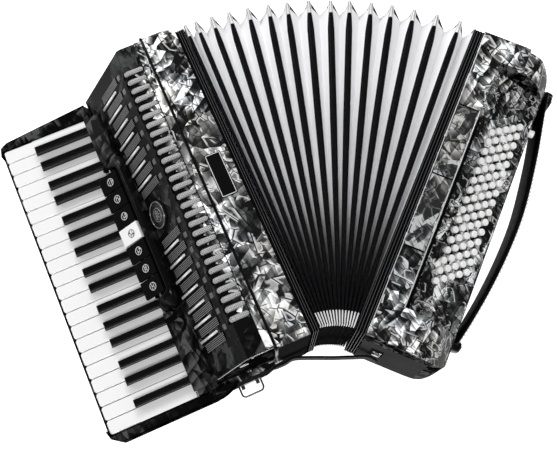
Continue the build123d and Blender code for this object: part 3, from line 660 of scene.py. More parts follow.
def taper(r):
    """the tape narrows to a point under the metal corner"""
    if r < 345:
        return 1.0
    if r < 470:
        return 1.0 - 0.26 * (r - 345) / 125.0
    return max(0.02, 0.74 * math.sqrt(max(0.0, (494.5 - r) / 24.5)))


cards = Mesh()
tapes = Mesh()
valleys = []
for i in range(NP + 1):
    a, b = lines_all[i], lines_all[i + 1]
    valleys.append((lambda a, b: lambda r: ((a(r)[0] + b(r)[0]) / 2, (a(r)[1] + b(r)[1]) / 2))(a, b))


def rail(l, uf, vf):
    row = []
    for r, z, dr, dz in LOOP:
        v = vf(r) if callable(vf) else vf
        u = uf(r) if callable(uf) else uf
        row.append(pt(l, r + dr * v, u, z + dz * v))
    return row


for i in range(NP):
    pk = peaks[i]
    rows = [rail(valleys[i], 0, -RV),
            rail(pk, lambda r, i=i: -nose(i, r), -0.3),
            rail(pk, lambda r, i=i: nose(i, r), -0.3),
            rail(valleys[i + 1], 0, -RV)]
    cards.grid(rows, 0, wrap_u=True)
    o = 0.35

    def tape_rail(side, k, i=i, pk=pk):
        """k runs from 0 on the fold's edge to 1 at the tape's border"""
        row = []
        for q, (r, z, dr, dz) in enumerate(LOOP):
            f = taper(r) if dz != 0 and r < R_OUT else (0.02 if dz != 0 else 1.0)
            b = nose(i, r)
            w = tape_half(i, r)
            d = tape_depth(r)
            u = b + (w - b) * k * f if k > 0 else b * (0.6 if k < 0 else 1.0) * max(f, 0.35)
            v = -d * max(k, 0) * f
            lift = 0.45 if k < 1.5 else -0.1
            if k < 0:
                row.append(pt(pk, r + dr * 0.25, side * u, z + dz * 0.25))
            else:
                row.append(pt(pk, r + dr * (v + lift * 0.3), side * (u + lift), z + dz * (v + lift * 0.3)))
        return row

    rows = [tape_rail(-1, 1.0), tape_rail(-1, 0.66), tape_rail(-1, 0.33), tape_rail(-1, 0.0), tape_rail(-1, -1),
            tape_rail(1, -1), tape_rail(1, 0.0), tape_rail(1, 0.33), tape_rail(1, 0.66), tape_rail(1, 1.0)]
    tapes.grid(rows, 0, wrap_u=True)
# the half folds that join the frames
cards.grid([rail(face0, -3.0, -2.0), rail(face0, 0.4, -2.0), rail(valleys[0], 0, -RV)], 0, wrap_u=True)
cards.grid([rail(valleys[NP], 0, -RV), rail(face1, -0.4, -2.0), rail(face1, 3.0, -2.0)], 0, wrap_u=True)

# metal corners
caps = Mesh()


def cap_path(r_end, r_dir, z_hi):
    """samples round one corner, (r, z, dr, dz, width factor)"""
    s = 1 if z_hi else -1
    zc = Z_HI if z_hi else Z_LO
    out = []
    ln = 17.0 if r_dir > 0 else 16.5
    for k in range(5):
        t = 1 - k / 4
        out.append((r_end - r_dir * ln * t, zc, 0 if t > 0 else r_dir, s, (0.0 + 1.0 * t if r_dir > 0 else 1.0 if t < 0.8 else 0.6)))
    for k in range(1, 4):
        out.append((r_end, zc - s * 12.0 * k / 3, r_dir, 0, 1.0 if k < 3 else 0.6))
    return out


for i in range(NP):
    pk = peaks[i]
    for r_end, r_dir in ((R_OUT, 1), (R_IN, -1)):
        for z_hi in (True, False):
            path = cap_path(r_end, r_dir, z_hi)
            rows = []
            for side, lvl in ((-1.0, -3.6), (-0.5, 0.0), (-0.25, 0.7), (0.25, 0.7), (0.5, 0.0), (1.0, -3.6)):
                row = []
                for r, z, dr, dz, wf in path:
                    g = gap_at(i, r)
                    b = min(1.5, 0.45 * g) * (0.55 + 0.45 * wf)
                    if abs(side) >= 1.0:
                        u = min(b + 3.6 * (g - b) / RV + 0.35, g * 0.97) * (1 if side > 0 else -1)
                    else:
                        u = side * 2 * (b + 0.35)
                    v = lvl
                    row.append(pt(pk, r + dr * v, u, z + dz * v))
                rows.append(row)
            caps.grid(rows, 0)


def fan_weights(ob):
    import numpy as np
    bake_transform(ob, "treble", "bass", start=tuple(T(10, 200, 95)), end=tuple(B(-8, 200, 95)))
    me = ob.data
    w = []
    for v in me.vertices:
        x = (v.co.x - OX) * 1000
        y = (v.co.y - OY) * 1000 - APEX
        r = math.hypot(x, y)
        a = math.atan2(x, y)
        lo, hi = phi0(max(r, 60)), phi1(max(r, 60))
        w.append(min(1.0, max(0.0, (a - lo) / (hi - lo))))
    me.attributes["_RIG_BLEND"].data.foreach_set("value", np.array(w, dtype=np.float32))
    return ob


o_cards = cards.make("bellows_cards", "bellows_card", "bellows_card", replaces="bellows_folds", smooth=25)
fan_weights(o_cards)
o_tapes = tapes.make("bellows_tapes", "tape", "bellows_card", smooth=60)
fan_weights(o_tapes)
o_caps = caps.make("bellows_corner_caps", "corner_metal", "corner_metal", replaces="bellows_corners", smooth=50)
fan_weights(o_caps)

# ------------------------------------------------------------------ bellows frames


def ring_loop(y0, y1, z0, z1, rad, v, n=5):
    """rounded rectangle in Y and Z, offset outwards by v"""
    y0, y1, z0, z1 = y0 - v, y1 + v, z0 - v, z1 + v
    rad = max(0.3, rad + v)
    pts = []
    for cy, cz, a0 in ((y1 - rad, z1 - rad, 0), (y0 + rad, z1 - rad, 90), (y0 + rad, z0 + rad, 180), (y1 - rad, z0 + rad, 270)):
        for k in range(n + 1):
            a = math.radians(a0 + 90 * k / n)
            pts.append((cy + rad * math.cos(a), cz + rad * math.sin(a)))
    return pts


def frame_ring(name, tf, body, node, x0, x1, grooves, sgn):
    """A bellows frame: a rounded ring with ruled grooves running round it."""
    m = Mesh()
    prof = [(x0, -13.0), (x0, -0.8), (x0 + sgn * 0.6, -0.1)]
    for gx in grooves:
        prof += [(gx - sgn * 0.55, -0.1), (gx - sgn * 0.35, -0.9), (gx + sgn * 0.35, -0.9), (gx + sgn * 0.55, -0.1)]
    prof += [(x1 - sgn * 0.6, -0.1), (x1, -0.8), (x1, -13.0)]
    rows = [[tf(x, y, z) for y, z in ring_loop(0, LENGTH, 0, DEPTH, 5.0, v)] for x, v in prof]
    m.grid(rows, 0, wrap_u=True, wrap_v=True)
    return m.make(name, "black_wood", "black_wood", body, node, smooth=35)


# painted sheen: thin grey lines on the ridges between the frame's grooves stand for the light the ridges catch
def frame_ridge_sheen(name, tf, body, xs):
    m = Mesh()
    for x in xs:
        m.tube([tf(x, y, z) for y, z in ring_loop(0, LENGTH, 0, DEPTH, 5.0, -0.30)], 0.00038, n=8, closed=True)
    return m.make(name, "frame_line", "black_wood", body, smooth=60)


frame_ridge_sheen("treble_frame_ridge_sheen", T, "treble", (2.2, 5.1, 8.3))
frame_ridge_sheen("bass_frame_ridge_sheen", B, "bass", (4.4, 1.1, -2.8, -6.2))
frame_ring("treble_frame_ring", T, "treble", "treble_bellows_frame", -2.0, 10.0, (0.8, 3.6, 6.6), 1)
frame_ring("bass_frame_ring", B, "bass", "bass_bellows_frame", 6.0, -8.0, (3.2, -1.0, -4.6), -1)

# ------------------------------------------------------------------ bass buttons
COL_X = [62.0, 70.5, 79.0, 87.5, 96.0]
BSLOPE = 0.545
TILT = math.atan(BSLOPE)


def board_z(x):
    return 168.7 - BSLOPE * (x - 38.0)


for c, nm in enumerate(("counterbass", "bass", "major", "minor", "seventh")):
    m = Mesh()
    x = COL_X[c]
    ax = BDIR(math.sin(TILT), 0, math.cos(TILT))
    for r in range(16):
        y = 101.5 + 14.3 * r + 7.6 * c
        c0 = B(x, y, board_z(x))
        prof = [(0, -0.008), (0.0046, -0.008), (0.0046, 0.0030), (0.00455, 0.0037), (0.0043, 0.0043), (0.0037, 0.00475),
                (0.0029, 0.00495), (0.0018, 0.0050), (0.0008, 0.0050), (0, 0.0050)]
        if nm in ("bass",) and r in (4, 8, 12):
            prof = prof[:-3] + [(0.0016, 0.0049), (0.0011, 0.0044), (0, 0.0042)]
        m.lathe(c0, ax, prof, 20)
    m.make("button_caps_" + nm, "white_button", "white_button", "buttons_" + nm, "buttons_" + nm, smooth=50)

# ------------------------------------------------------------------ hand strap
S_OUT = [(120.0, 424.0), (126.0, 385.0), (135.5, 325.0), (143.0, 250.0), (142.0, 190.0), (136.0, 130.0), (127.5, 80.0), (120.0, 46.0)]


def catmull(pts, n=10):
    out = []
    p = [pts[0]] + list(pts) + [pts[-1]]
    for i in range(1, len(p) - 2):
        for k in range(n):
            t = k / n
            q = []
            for d in range(len(p[0])):
                a, b, c_, e = p[i - 1][d], p[i][d], p[i + 1][d], p[i + 2][d]
                q.append(0.5 * ((2 * b) + (-a + c_) * t + (2 * a - 5 * b + 4 * c_ - e) * t * t + (-a + 3 * b - 3 * c_ + e) * t ** 3))
            out.append(tuple(q))
    out.append(tuple(pts[-1]))
    return out


path = catmull(S_OUT, 8)
strap = Mesh()
stitch = Mesh()
rows = []
SW, ST = 56.0, 7.2
sec = []
for k in range(28):
    a = 2 * math.pi * k / 28
    ca, sa = math.cos(a), math.sin(a)
    # rounded, slightly crowned section: u across the width, v through the thickness
    u = (abs(ca) ** 0.35) * (1 if ca >= 0 else -1) * SW / 2
    v = (abs(sa) ** 0.6) * (1 if sa >= 0 else -1) * ST / 2
    v *= 0.72 + 0.28 * (1 - (abs(u) / (SW / 2)) ** 4)
    sec.append((u, v))
for i, (x, y) in enumerate(path):
    a = path[max(0, i - 1)]
    b = path[min(len(path) - 1, i + 1)]
    d = Vector((b[0] - a[0], b[1] - a[1])).normalized()
    nx, ny = -d.y, d.x       # outwards
    if nx < 0:
        nx, ny = -nx, -ny
    cx, cy = x - nx * (ST / 2 + 0.2), y - ny * (ST / 2 + 0.2)
    row = []
    for u, v in sec:
        row.append(B(cx + nx * v + 0.05 * (u + SW / 2), cy + ny * v, 86 + u))
    rows.append(row)
base = strap.grid(rows, 0, wrap_u=True)
n = len(sec)
strap.f.append(tuple(reversed(range(base, base + n))))
strap.m.append(0)
e = base + (len(rows) - 1) * n
strap.f.append(tuple(range(e, e + n)))
strap.m.append(0)
o = strap.make("hand_strap_leather", "leather", "leather", "bass", "hand_strap", smooth=60)
# two rows of stitches on the outer face, near each edge
dense = catmull(S_OUT, 40)
acc, last = 0.0, None
for i in range(1, len(dense) - 1):
    x, y = dense[i]
    a, b = dense[i - 1], dense[i + 1]
    acc += math.hypot(b[0] - a[0], b[1] - a[1]) / 2
    if acc < 5.2:
        continue
    acc = 0.0
    d = Vector((b[0] - a[0], b[1] - a[1])).normalized()
    nx, ny = -d.y, d.x
    if nx < 0:
        nx, ny = -nx, -ny
    for u in (-SW / 2 + 4.5, SW / 2 - 4.5):
        px, py = x + nx * -0.45 + 0.05 * (u + SW / 2), y + ny * -0.45
        q = [B(px - d.x * 1.6, py - d.y * 1.6, 86 + u), B(px + nx * 0.35, py + ny * 0.35, 86 + u), B(px + d.x * 1.6, py + d.y * 1.6, 86 + u)]
        stitch.tube(q, 0.00035, 6)
stitch.make("hand_strap_stitches", "thread", "leather", "bass", smooth=60)

# ------------------------------------------------------------------ bottom bellows strap


def t2w(x, y):
    return (CA * x - SA * y - HALF, SA * x + CA * y)


def b2w(x, y):
    return (CA * x + SA * y + HALF, -SA * x + CA * y)


pts = [t2w(-54, -8.0), t2w(-38, -8.2), t2w(-24, -7.2), (-24, -15.4), (0, -15.8), (24, -15.4), b2w(22, -7.4), b2w(36, -8.0)]
bs = catmull(pts, 5)
sm = Mesh()
rows = []
for i, (x, y) in enumerate(bs):
    a, b = bs[max(0, i - 1)], bs[min(len(bs) - 1, i + 1)]
    d = Vector((b[0] - a[0], b[1] - a[1])).normalized()
    nx, ny = d.y, -d.x
    hw = 13.0
    if i < 3:
        hw = (5.0, 9.0, 12.0)[i]
    if i > len(bs) - 4:
        hw = (12.0, 9.0, 5.0)[i - (len(bs) - 3)]
    row = []
    for u, v in ((-1, -0.7), (-0.97, 1.1), (-0.85, 1.5), (0.85, 1.5), (0.97, 1.1), (1, -0.7), (0.95, -1.2), (-0.95, -1.2)):
        row.append(W(x + nx * v, y + ny * v, 75 + u * hw))
    rows.append(row)
base = sm.grid(rows, 0, wrap_u=True)
sm.f.append(tuple(reversed(range(base, base + 8))))
sm.m.append(0)
e = base + (len(rows) - 1) * 8
sm.f.append(tuple(range(e, e + 8)))
sm.m.append(0)
o = sm.make("bellows_strap_leather", "leather", "leather", replaces="bellows_strap_bottom", smooth=40)
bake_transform(o, "treble", "bass", start=tuple(W(-30, -15, 75)), end=tuple(W(30, -15, 75)))

# ------------------------------------------------------------------ grille details
RIDGE = (-82.0, 188.0)
FOOT = (-146.0, 84.0)
gdx, gdz = FOOT[0] - RIDGE[0], FOOT[1] - RIDGE[1]
gl = math.hypot(gdx, gdz)
gux, guz = gdx / gl, gdz / gl


def sl(s, off=0.0):
    return (RIDGE[0] + gux * s + guz * off, RIDGE[1] + guz * s - gux * off)


BAR_Y = [53.0 + 20.9 * k for k in range(7)] + [271.6 + 20.9 * k for k in range(7)]
WINDOWS = sorted([BAR_Y[k] - 10.4 for k in range(7)] + [BAR_Y[6] + 10.4] + [BAR_Y[k] + 10.4 for k in range(7, 14)] + [BAR_Y[7] - 10.4])
bars = Mesh()
bar_shadow_strips = Mesh()
for y in BAR_Y:
    prof = [sl(37.0, 0.0), sl(37.0, 1.2), sl(38.0, 1.9), sl(82.4, 1.9), sl(83.5, 1.2), sl(83.5, 0.0)]
    bars.prism(T, prof, y - 1.4, y + 1.6)
    # painted shadow: a black strip lying beside each bar
    bar_shadow_strips.prism(T, [sl(38.0, 0.0), sl(38.0, 0.35), sl(82.0, 0.35), sl(82.0, 0.0)], y - 4.2, y - 1.6)
bars.make("grille_bars_bright", "bar_silver", "chrome", "treble", "grille_bars", bevel=0.0004, seg=2)
ribs = Mesh()
back = Mesh()
for y in WINDOWS:
    # fluted block in each window: five thin ribs with rounded backs on a dark ground
    s0, s1 = 27.0, 77.0
    for q in range(5):
        yy = y - 4.4 + 2.2 * q
        rows = []
        for k in range(7):
            t = math.pi * k / 6
            dy, h = -0.52 * math.cos(t), 0.2 + 0.75 * math.sin(t)
            rows.append([T(sl(s0, -0.6)[0], yy + dy, sl(s0, -0.6)[1]), T(sl(s0 + 0.5, h)[0], yy + dy, sl(s0 + 0.5, h)[1]),
                         T(sl(s1 - 0.5, h)[0], yy + dy, sl(s1 - 0.5, h)[1]), T(sl(s1, -0.6)[0], yy + dy, sl(s1, -0.6)[1])])
        ribs.grid(rows, 0)
    back.prism(T, [sl(s0 - 0.4, -0.3), sl(s0 - 0.2, 0.22), sl(s1 + 0.2, 0.22), sl(s1 + 0.4, -0.3)], y - 5.4, y + 5.4)
ribs.make("grille_fluted_blocks", "rib_metal", "grille_metal", "treble", smooth=30)
back.make("grille_block_grounds", "slot_black", "grille_metal", "treble")

# small woven windows between the louvres and the fluted blocks
dm = Mesh()
for k in range(18):
    y = 407.0 - 20.9 * k
    if 205 < y < 250 or y < 42:
        continue
    a = sl(15.6, 0.25), sl(22.6, 0.25)
    n = 4
    rows = []
    for q in range(n + 1):
        yy = y - 3.4 + 6.8 * q / n
        edge = 0.0 if q in (0, n) else 0.5
        rows.append([T(sl(15.2, 0.0)[0], yy, sl(15.2, 0.0)[1]), T(sl(15.8, edge)[0], yy, sl(15.8, edge)[1]),
                     T(sl(22.4, edge)[0], yy, sl(22.4, edge)[1]), T(sl(23.0, 0.0)[0], yy, sl(23.0, 0.0)[1])])
    dm.grid(rows, 0)
dm.make("grille_woven_windows", "dark_mesh", "grille_metal", "treble", smooth=60)

# louvres: rounded pads of silver mesh over the shoulder of the grille, with black strips of painted shadow between them
LOU_X = -58.4


flat0, flat1 = LOU_X, -78.0


def surf(q, off):
    """q runs from 0 at the seam side; flat, then the blend, then the slope"""
    n1 = flat0 - flat1
    if q <= n1:
        return (flat0 - q, DEPTH + off)
    arc_r = 6.0
    th_end = math.atan2(104.0, 64.0)
    al = arc_r * th_end
    if q <= n1 + al:
        th = (q - n1) / arc_r
        return (flat1 - (arc_r + off) * math.sin(th), DEPTH - arc_r + (arc_r + off) * math.cos(th))
    x, z = flat1 - (arc_r + off) * math.sin(th_end), DEPTH - arc_r + (arc_r + off) * math.cos(th_end)
    d = q - n1 - al
    return (x - d * math.cos(th_end), z - d * math.sin(th_end))


lv = Mesh()
louvre_shadow_strips = Mesh()
pt2 = Mesh()
for k in range(28):
    yc = 53.2 + 12.8 * k
    hw, ln = 3.5, 27.0
    rows = []
    nq = 18
    for i in range(nq + 1):
        q = 0.3 + (ln - 0.6) * i / nq
        e = min(q, ln - q)
        w = hw if e >= hw else math.sqrt(max(0.0, hw * hw - (hw - e) ** 2))
        w = max(w, 0.4)
        row = []
        for j in range(9):
            t = -1 + 2 * j / 8
            off = 1.15 * (1 - t * t) ** 0.5 * min(1.0, w / hw) + 0.15
            x, z = surf(q, off if j not in (0, 8) else -0.4)
            row.append(T(x, yc + w * t, z))
        rows.append(row)
    lv.grid(rows, 0)
    if k < 27:
        # painted shadow: a black strip between each pair of louvres
        ym = yc + 6.4
        rows = []
        for i in range(13):
            q = 12.5 + (ln + 3.0 - 12.5) * i / 12
            x, z = surf(q, 0.12)
            x2, z2 = surf(q, -0.5)
            rows.append([T(x2, ym - 2.0, z2), T(x, ym - 1.9, z), T(x, ym + 1.9, z), T(x2, ym + 2.0, z2)])
        louvre_shadow_strips.grid(rows, 0)
        rows = []
        for i in range(11):
            q = 0.1 + 13.4 * i / 10
            w = 3.15 if i < 8 else 3.15 - 0.9 * (i - 7)
            x, z = surf(q, 0.38)
            x2, z2 = surf(q, -0.5)
            rows.append([T(x2, ym - w - 0.1, z2), T(x, ym - w, z), T(x, ym + w, z), T(x2, ym + w + 0.1, z2)])
        pt2.grid(rows, 0)
pt2.make("grille_pearl_tongues", "pearl", "grille_metal", "treble", smooth=60)
lv.make("grille_louvre_pads", "silver_mesh", "silver_mesh", "treble", "grille_louvres", smooth=60)
louvre_shadow_strips.make("grille_louvre_painted_shadows", "slot_black", "gauze", "treble", smooth=60)
bar_shadow_strips.make("grille_bar_painted_shadows", "slot_black", "gauze", "treble")

# pearl strip beside the seam, and the seam's rounded bead
st = Mesh()
st.prism(T, [(-57.6, DEPTH - 0.5), (-57.6, DEPTH + 0.45), (-57.2, DEPTH + 0.7), (-48.6, DEPTH + 0.7), (-48.1, DEPTH + 0.4), (-48.1, DEPTH - 0.5)], 3.4, 435.6)
st.make("pearl_strip", "pearl", "pearl", "treble", bevel=0.0003, seg=2)
bead = Mesh()
pth = [T(-46.6, -0.2, z) for z in (60, 120, 180)] + [T(-46.6, 0.4, 186.5), T(-46.6, 2.0, 188.6), T(-46.6, 5.0, DEPTH - 1.0)]
pth += [T(-46.6, y, DEPTH - 1.0) for y in (60, 140, 220, 300, 380)] + [T(-46.6, 435.0, DEPTH - 1.0), T(-46.6, 438.2, 188.2), T(-46.6, 439.9, 186.0), T(-46.6, 440.2, 120), T(-46.6, 440.2, 60)]
bead.tube(pth, 0.0023, 14)
bead.make("seam_bead", "black_gloss", "black_gloss", "treble", smooth=70)

# medallion with plain turned rings and a small rosette
ec = sl(58, 0.0)
c0 = T(ec[0], 224.5, ec[1])
ax = TDIR(guz, 0, -gux)
if ax.z < 0:
    ax = -ax
med = Mesh()
med.lathe(c0, ax, [(0.0185, 0.0), (0.0185, 0.0020), (0.0180, 0.0028), (0.0170, 0.0030), (0.0162, 0.0026), (0.0160, 0.0018),
                   (0.0150, 0.0018), (0.0100, 0.0024), (0.0096, 0.0020), (0.0090, 0.0020), (0.0086, 0.0026), (0, 0.0030)], 64)
med.make("grille_medallion", "badge", "badge", "treble", "grille_emblem", smooth=30)
rim = Mesh()
s1 = ax.orthogonal().normalized()
t1 = ax.cross(s1)
for rr, hh in ((0.0173, 0.0028), (0.0090, 0.0022)):
    rim.tube([c0 + ax * hh + (s1 * math.cos(2 * math.pi * k / 48) + t1 * math.sin(2 * math.pi * k / 48)) * rr for k in range(48)], 0.00055, 8, closed=True)
for k in range(8):
    a = 2 * math.pi * k / 8
    d = s1 * math.cos(a) + t1 * math.sin(a)
    e1 = ax.cross(d)
    loop = []
    for q in range(16):
        b = 2 * math.pi * q / 16
        loop.append(c0 + ax * 0.0031 + d * (0.0040 + 0.0024 * math.cos(b)) + e1 * 0.0010 * math.sin(b))
    rim.tube(loop, 0.0003, 6, closed=True)
rim.make("grille_medallion_rings", "bar_grey", "chrome", "treble", smooth=60)

# blank name plate with a raised border
npm = Mesh()
npm.block(T, -33, -12, 196, 256, DEPTH - 0.2, DEPTH + 1.0)
npm.make("name_plate_blank", "badge_plate", "badge_plate", "treble", "name_plate", bevel=0.0008, seg=3)
bd = Mesh()
loop = []
for cx_, cy_, a0 in ((-14.6, 253.4, 0), (-30.4, 253.4, 90), (-30.4, 198.6, 180), (-14.6, 198.6, 270)):
    for k in range(5):
        a = math.radians(a0 + 90 * k / 4)
        loop.append(T(cx_ + 1.2 * math.cos(a), cy_ + 1.2 * math.sin(a), DEPTH + 1.0))
bd.tube(loop, 0.0005, 8, closed=True)
bd.make("name_plate_border", "print_white", "chrome", "treble", smooth=60)

# ------------------------------------------------------------------ register switch icons
TAB_IN, TAB_OUT = (-143.5, 122.0), (-169.5, 103.0)
tdx, tdz = TAB_OUT[0] - TAB_IN[0], TAB_OUT[1] - TAB_IN[1]
tl = math.hypot(tdx, tdz)
tux, tuz = tdx / tl, tdz / tl
tnx, tnz = tuz, -tux
if tnz < 0:
    tnx, tnz = -tnx, -tnz


def tab(s, y, off):
    return T(TAB_IN[0] + tux * s + tnx * off, y, TAB_IN[1] + tuz * s + tnz * off)


DOTS = [((0, 1),), ((0, 1), (1, 0)), ((0, 0), (1, 1), (0, 1)), ((0, 1), (0, 0), (1, -1)), ((1, 1), (0, 0)), ((0, 0), (1, 0)), ((0, 0),)]
for k in range(7):
    yc = 223.2 + 25.5 * (3 - k)
    ic = Mesh()
    sm = tl / 2 - 2.2
    loop = [tab(sm + 5.0 * math.sin(a), yc + 5.1 * math.cos(a), 0.12) for a in [2 * math.pi * q / 28 for q in range(28)]]
    ic.tube(loop, 0.00038, 6, closed=True)
    for r in (-1, 1):
        w = 5.1 * math.sqrt(1 - (1.7 / 5.0) ** 2)
        ic.tube([tab(sm + 1.7 * r, yc - w, 0.1), tab(sm + 1.7 * r, yc + w, 0.1)], 0.00028, 6)
    for dy, row in DOTS[k]:
        cc = tab(sm - 3.2 * row, yc + (dy * 3.0 - 1.5 if len(DOTS[k]) > 1 else 0), 0.05)
        ic.lathe(cc, TDIR(tnx, 0, tnz), [(0.0009, 0), (0.0009, 0.0002), (0, 0.0003)], 12)
    ic.make("register_icon_%d" % (k + 1), "black_satin" if k == 3 else "print_white", "white_tab", "register_%d" % (k + 1), smooth=50)

# ------------------------------------------------------------------ register housing: one long smooth hump
SEC_A = [(-122.4, 118.5), (-124.4, 122.4), (-128.2, 125.6), (-132.6, 127.2), (-136.8, 126.6), (-139.6, 124.2), (-140.6, 120.4), (-140.6, 114.5), (-140.2, 109.5), (-139.4, 105.0)]
SEC_B = [(-122.4, 118.5), (-124.6, 122.6), (-128.8, 126.0), (-134.4, 127.4), (-140.6, 125.8), (-147.0, 121.6), (-153.0, 115.6), (-157.4, 109.2), (-159.6, 102.6), (-158.6, 97.2)]


def hump(y):
    d = abs(y - 225.0)
    k = min(1.0, max(0.0, (d - 89.0) / 8.0))
    k = k * k * (3 - 2 * k)
    e = min(1.0, max(0.0, (d - 82.0) / 36.0))
    h = math.sqrt(max(0.0, 1 - e * e))
    w = (max(0.0, 1 - e ** 3.2)) ** 0.5
    bow = 4.0 * (d / 118.0) ** 2
    out = []
    for (ax_, az_), (bx_, bz_) in zip(SEC_A, SEC_B):
        x, z = ax_ + (bx_ - ax_) * k, az_ + (bz_ - az_) * k
        g0 = 188.0 + (x + 82.0) * 104.0 / 64.0 - 1.0
        rise = max(0.0, z - g0)
        x -= bow * max(0.0, (x + 137.0) / 14.6)
        x = -139.0 + (x + 139.0) * (0.12 + 0.88 * w)
        g0 = 188.0 + (x + 82.0) * 104.0 / 64.0 - 1.0
        out.append((x, max(g0 + rise * h, 92.0)))
    return out


hm = Mesh()
rows = []
DS = (118, 117.7, 116.8, 115.2, 112.5, 109, 105, 101, 97, 95, 93, 91, 89, 86, 82, 70, 55, 40, 20)
ys = [225.0 - t for t in DS] + [225.0] + [225.0 + t for t in reversed(DS)]
for y in ys:
    rows.append([T(x, y, z) for x, z in hump(y)])
hm.grid(rows, 0)
hm.prism(T, [(-139.5, 105.6), (-157.2, 94.4), (-157.2, 90.5), (-139.5, 98.0)], 134.5, 318.5)
hm.make("register_hump", "pearl_hump", "black_gloss", "treble", "register_housing", smooth=60)

# glossy edge of the register bank under the tabs
lip = Mesh()
lip.tube([T(-157.6, y, 93.6) for y in (134.5, 200, 260, 318.5)], 0.0011, 10)
lip.make("register_bank_edge", "black_gloss", "black_gloss", "treble", smooth=70)

# the dark moulding above the slip, cut back at the top end
mo = Mesh()
for y0, y1, top_cut in ((4.0, 106.0, False), (347.0, 432.5, True)):
    rows = []
    n = 14
    for i in range(n + 1):
        y = y0 + (y1 - y0) * i / n
        s_top = 84.2
        if top_cut and y > 392:
            s_top = 84.2 + 34.0 * (y - 392) / 40.5
        row = [sl(s_top - 0.4, 0.05), sl(s_top, 0.7), sl(min(s_top + 1.5, 119.5), 1.0), sl(max(s_top + 2, 101.0), 1.2), sl(max(s_top + 3, 112.0), 0.9), sl(120.5, 0.3)]
        rows.append([T(x, y, z) for x, z in row])
    mo.grid(rows, 0)
mo.make("foot_moulding", "pearl_bed", "pearl_bed", "treble", smooth=50)

# small dark block that closes the foot of the grille above the last key
fc = Mesh()
fc.prism(T, [(-154.5, 88.0), (-154.5, 95.4), (-139.0, 97.6), (-128.0, 112.6), (-126.5, 112.0), (-126.5, 88.0)], -3.6, 4.4)
fc.make("foot_end_block", "pearl_bed", "black_gloss", "treble", bevel=0.0008, seg=2)

# the cheek's end fairs into the case below the last key
cf = Mesh()
CF = [(-134.6, -14.3), (-128.0, -13.9), (-121.0, -12.4), (-114.0, -9.9), (-108.0, -7.2), (-104.0, -5.3), (-104.0, -3.2), (-134.6, -3.2)]
rows = []
for z, k in ((40.0, 0.92), (41.5, 0.98), (43.5, 1.0), (81.0, 1.0), (83.0, 0.97), (83.8, 0.90)):
    rows.append([T(x, -3.2 + (y + 3.2) * k, z) for x, y in CF])
base = cf.grid(rows, 0, wrap_u=True)
nf = len(CF)
cf.f += [tuple(reversed(range(base, base + nf))), tuple(range(base + 5 * nf, base + 6 * nf))]
cf.m += [0, 0]
cf.make("cheek_end_fairing", "pearl_bed", "black_gloss", "treble", smooth=50)

# ------------------------------------------------------------------ end plates
ep = Mesh()


def sheet_strip(tf, path, z0, z1, n_out):
    """a thin plate that follows a plan path"""
    outer = [tf(x + n_out[0] * 0.6, y + n_out[1] * 0.6, 0) for x, y in path]
    rows = []
    for z, o in ((z0, 0.0), (z0 + 0.6, 0.6), (z1 - 0.6, 0.6), (z1, 0.0)):
        rows.append([tf(x + n_out[0] * o, y + n_out[1] * o, z) for x, y in path])
    ep.grid(rows, 0)


sheet_strip(T, [(-2.3, 0.0), (-20, 0.0), (-43.5, 0.0)], 6, 183.5, (0, -1))
sheet_strip(T, [(-46.0, -0.6), (-61.8, -5.0), (-90, -5.0), (-127.6, -5.0)], 5, 62, (0, -1))
sheet_strip(T, [(-2.3, 440.0), (-43.5, 440.0)], 6, 184, (0, 1))
ep.make("treble_end_plates", "end_satin", "black_satin", "treble", smooth=40)
ep = Mesh()
sheet_strip(B, [(7.0, 0.0), (50, 0.0), (91.0, 0.0)], 9, 149, (0, -1))
sheet_strip(B, [(7.0, 432.0), (50, 432.0), (91.0, 432.0)], 9, 149, (0, 1))
ep.make("bass_end_plates", "end_grey", "black_satin", "bass", smooth=40)
# painted highlights: light lines along the bevels where the pearl ends
bevel_highlight = Mesh()
bevel_highlight.tube([T(x, 2.4, 187.9) for x in (-43.0, -25, -4)], 0.0005, 8)
bevel_highlight.tube([T(-47.5, 2.6, 188.6), T(-77, 2.6, 188.4), T(-83.5, 2.8, 185.0), T(-100, 3.0, 158.8), T(-124, 3.0, 119.8)], 0.0006, 8)
bevel_highlight.make("treble_bevel_painted_highlights", "bar_grey", "chrome", "treble", smooth=60)
bevel_highlight = Mesh()
bevel_highlight.tube([B(x, 0.6, 189.4) for x in (7, 20, 39)] + [B(52, 0.6, 187.9), B(60, 0.6, 186.1), B(72, 0.6, 182.2)], 0.0006, 8)
bevel_highlight.make("bass_bevel_painted_highlight", "bar_silver", "chrome", "bass", smooth=60)

# ------------------------------------------------------------------ bass front details
bd2 = Mesh()
for y0, y1 in ((119.6, 121.6), (220.0, 222.0), (320.4, 322.4)):
    bd2.block(B, 8.4, 35.4, y0, y1, DEPTH - 0.3, DEPTH + 0.95)
# painted shadow: a black strip between the trim line and the button board stands for the shade of the recess
for y0, y1 in ((47.2, 322.2),):
    rows = []
    for x in (38.1, 39.0, 40.5, 42.6, 43.4):
        rows.append([B(x, y0, board_z(x) - 0.4), B(x, y0 + 0.3, board_z(x) + 0.28), B(x, y1 - 0.3, board_z(x) + 0.28), B(x, y1, board_z(x) - 0.4)])
    bd2.grid(rows, 0)
bd2.make("bass_dark_seams_and_painted_shadow", "slot_black", "gauze", "bass", smooth=30)
cl = Mesh()
cl.tube([B(7.1, 2.0, DEPTH + 0.35), B(7.1, 210, DEPTH + 0.35), B(7.1, 429.5, DEPTH + 0.35)], 0.00055, 8)
cl.make("bass_frame_cord", "bar_silver", "chrome", "bass", smooth=70)
tl_ = Mesh()
tl_.tube([B(36.8, 47.2, DEPTH + 0.95), B(36.8, 200, DEPTH + 0.95), B(36.8, 321.8, DEPTH + 0.95)], 0.0006, 8)
tl_.make("bass_trim_line", "bar_silver", "chrome", "bass", smooth=70)

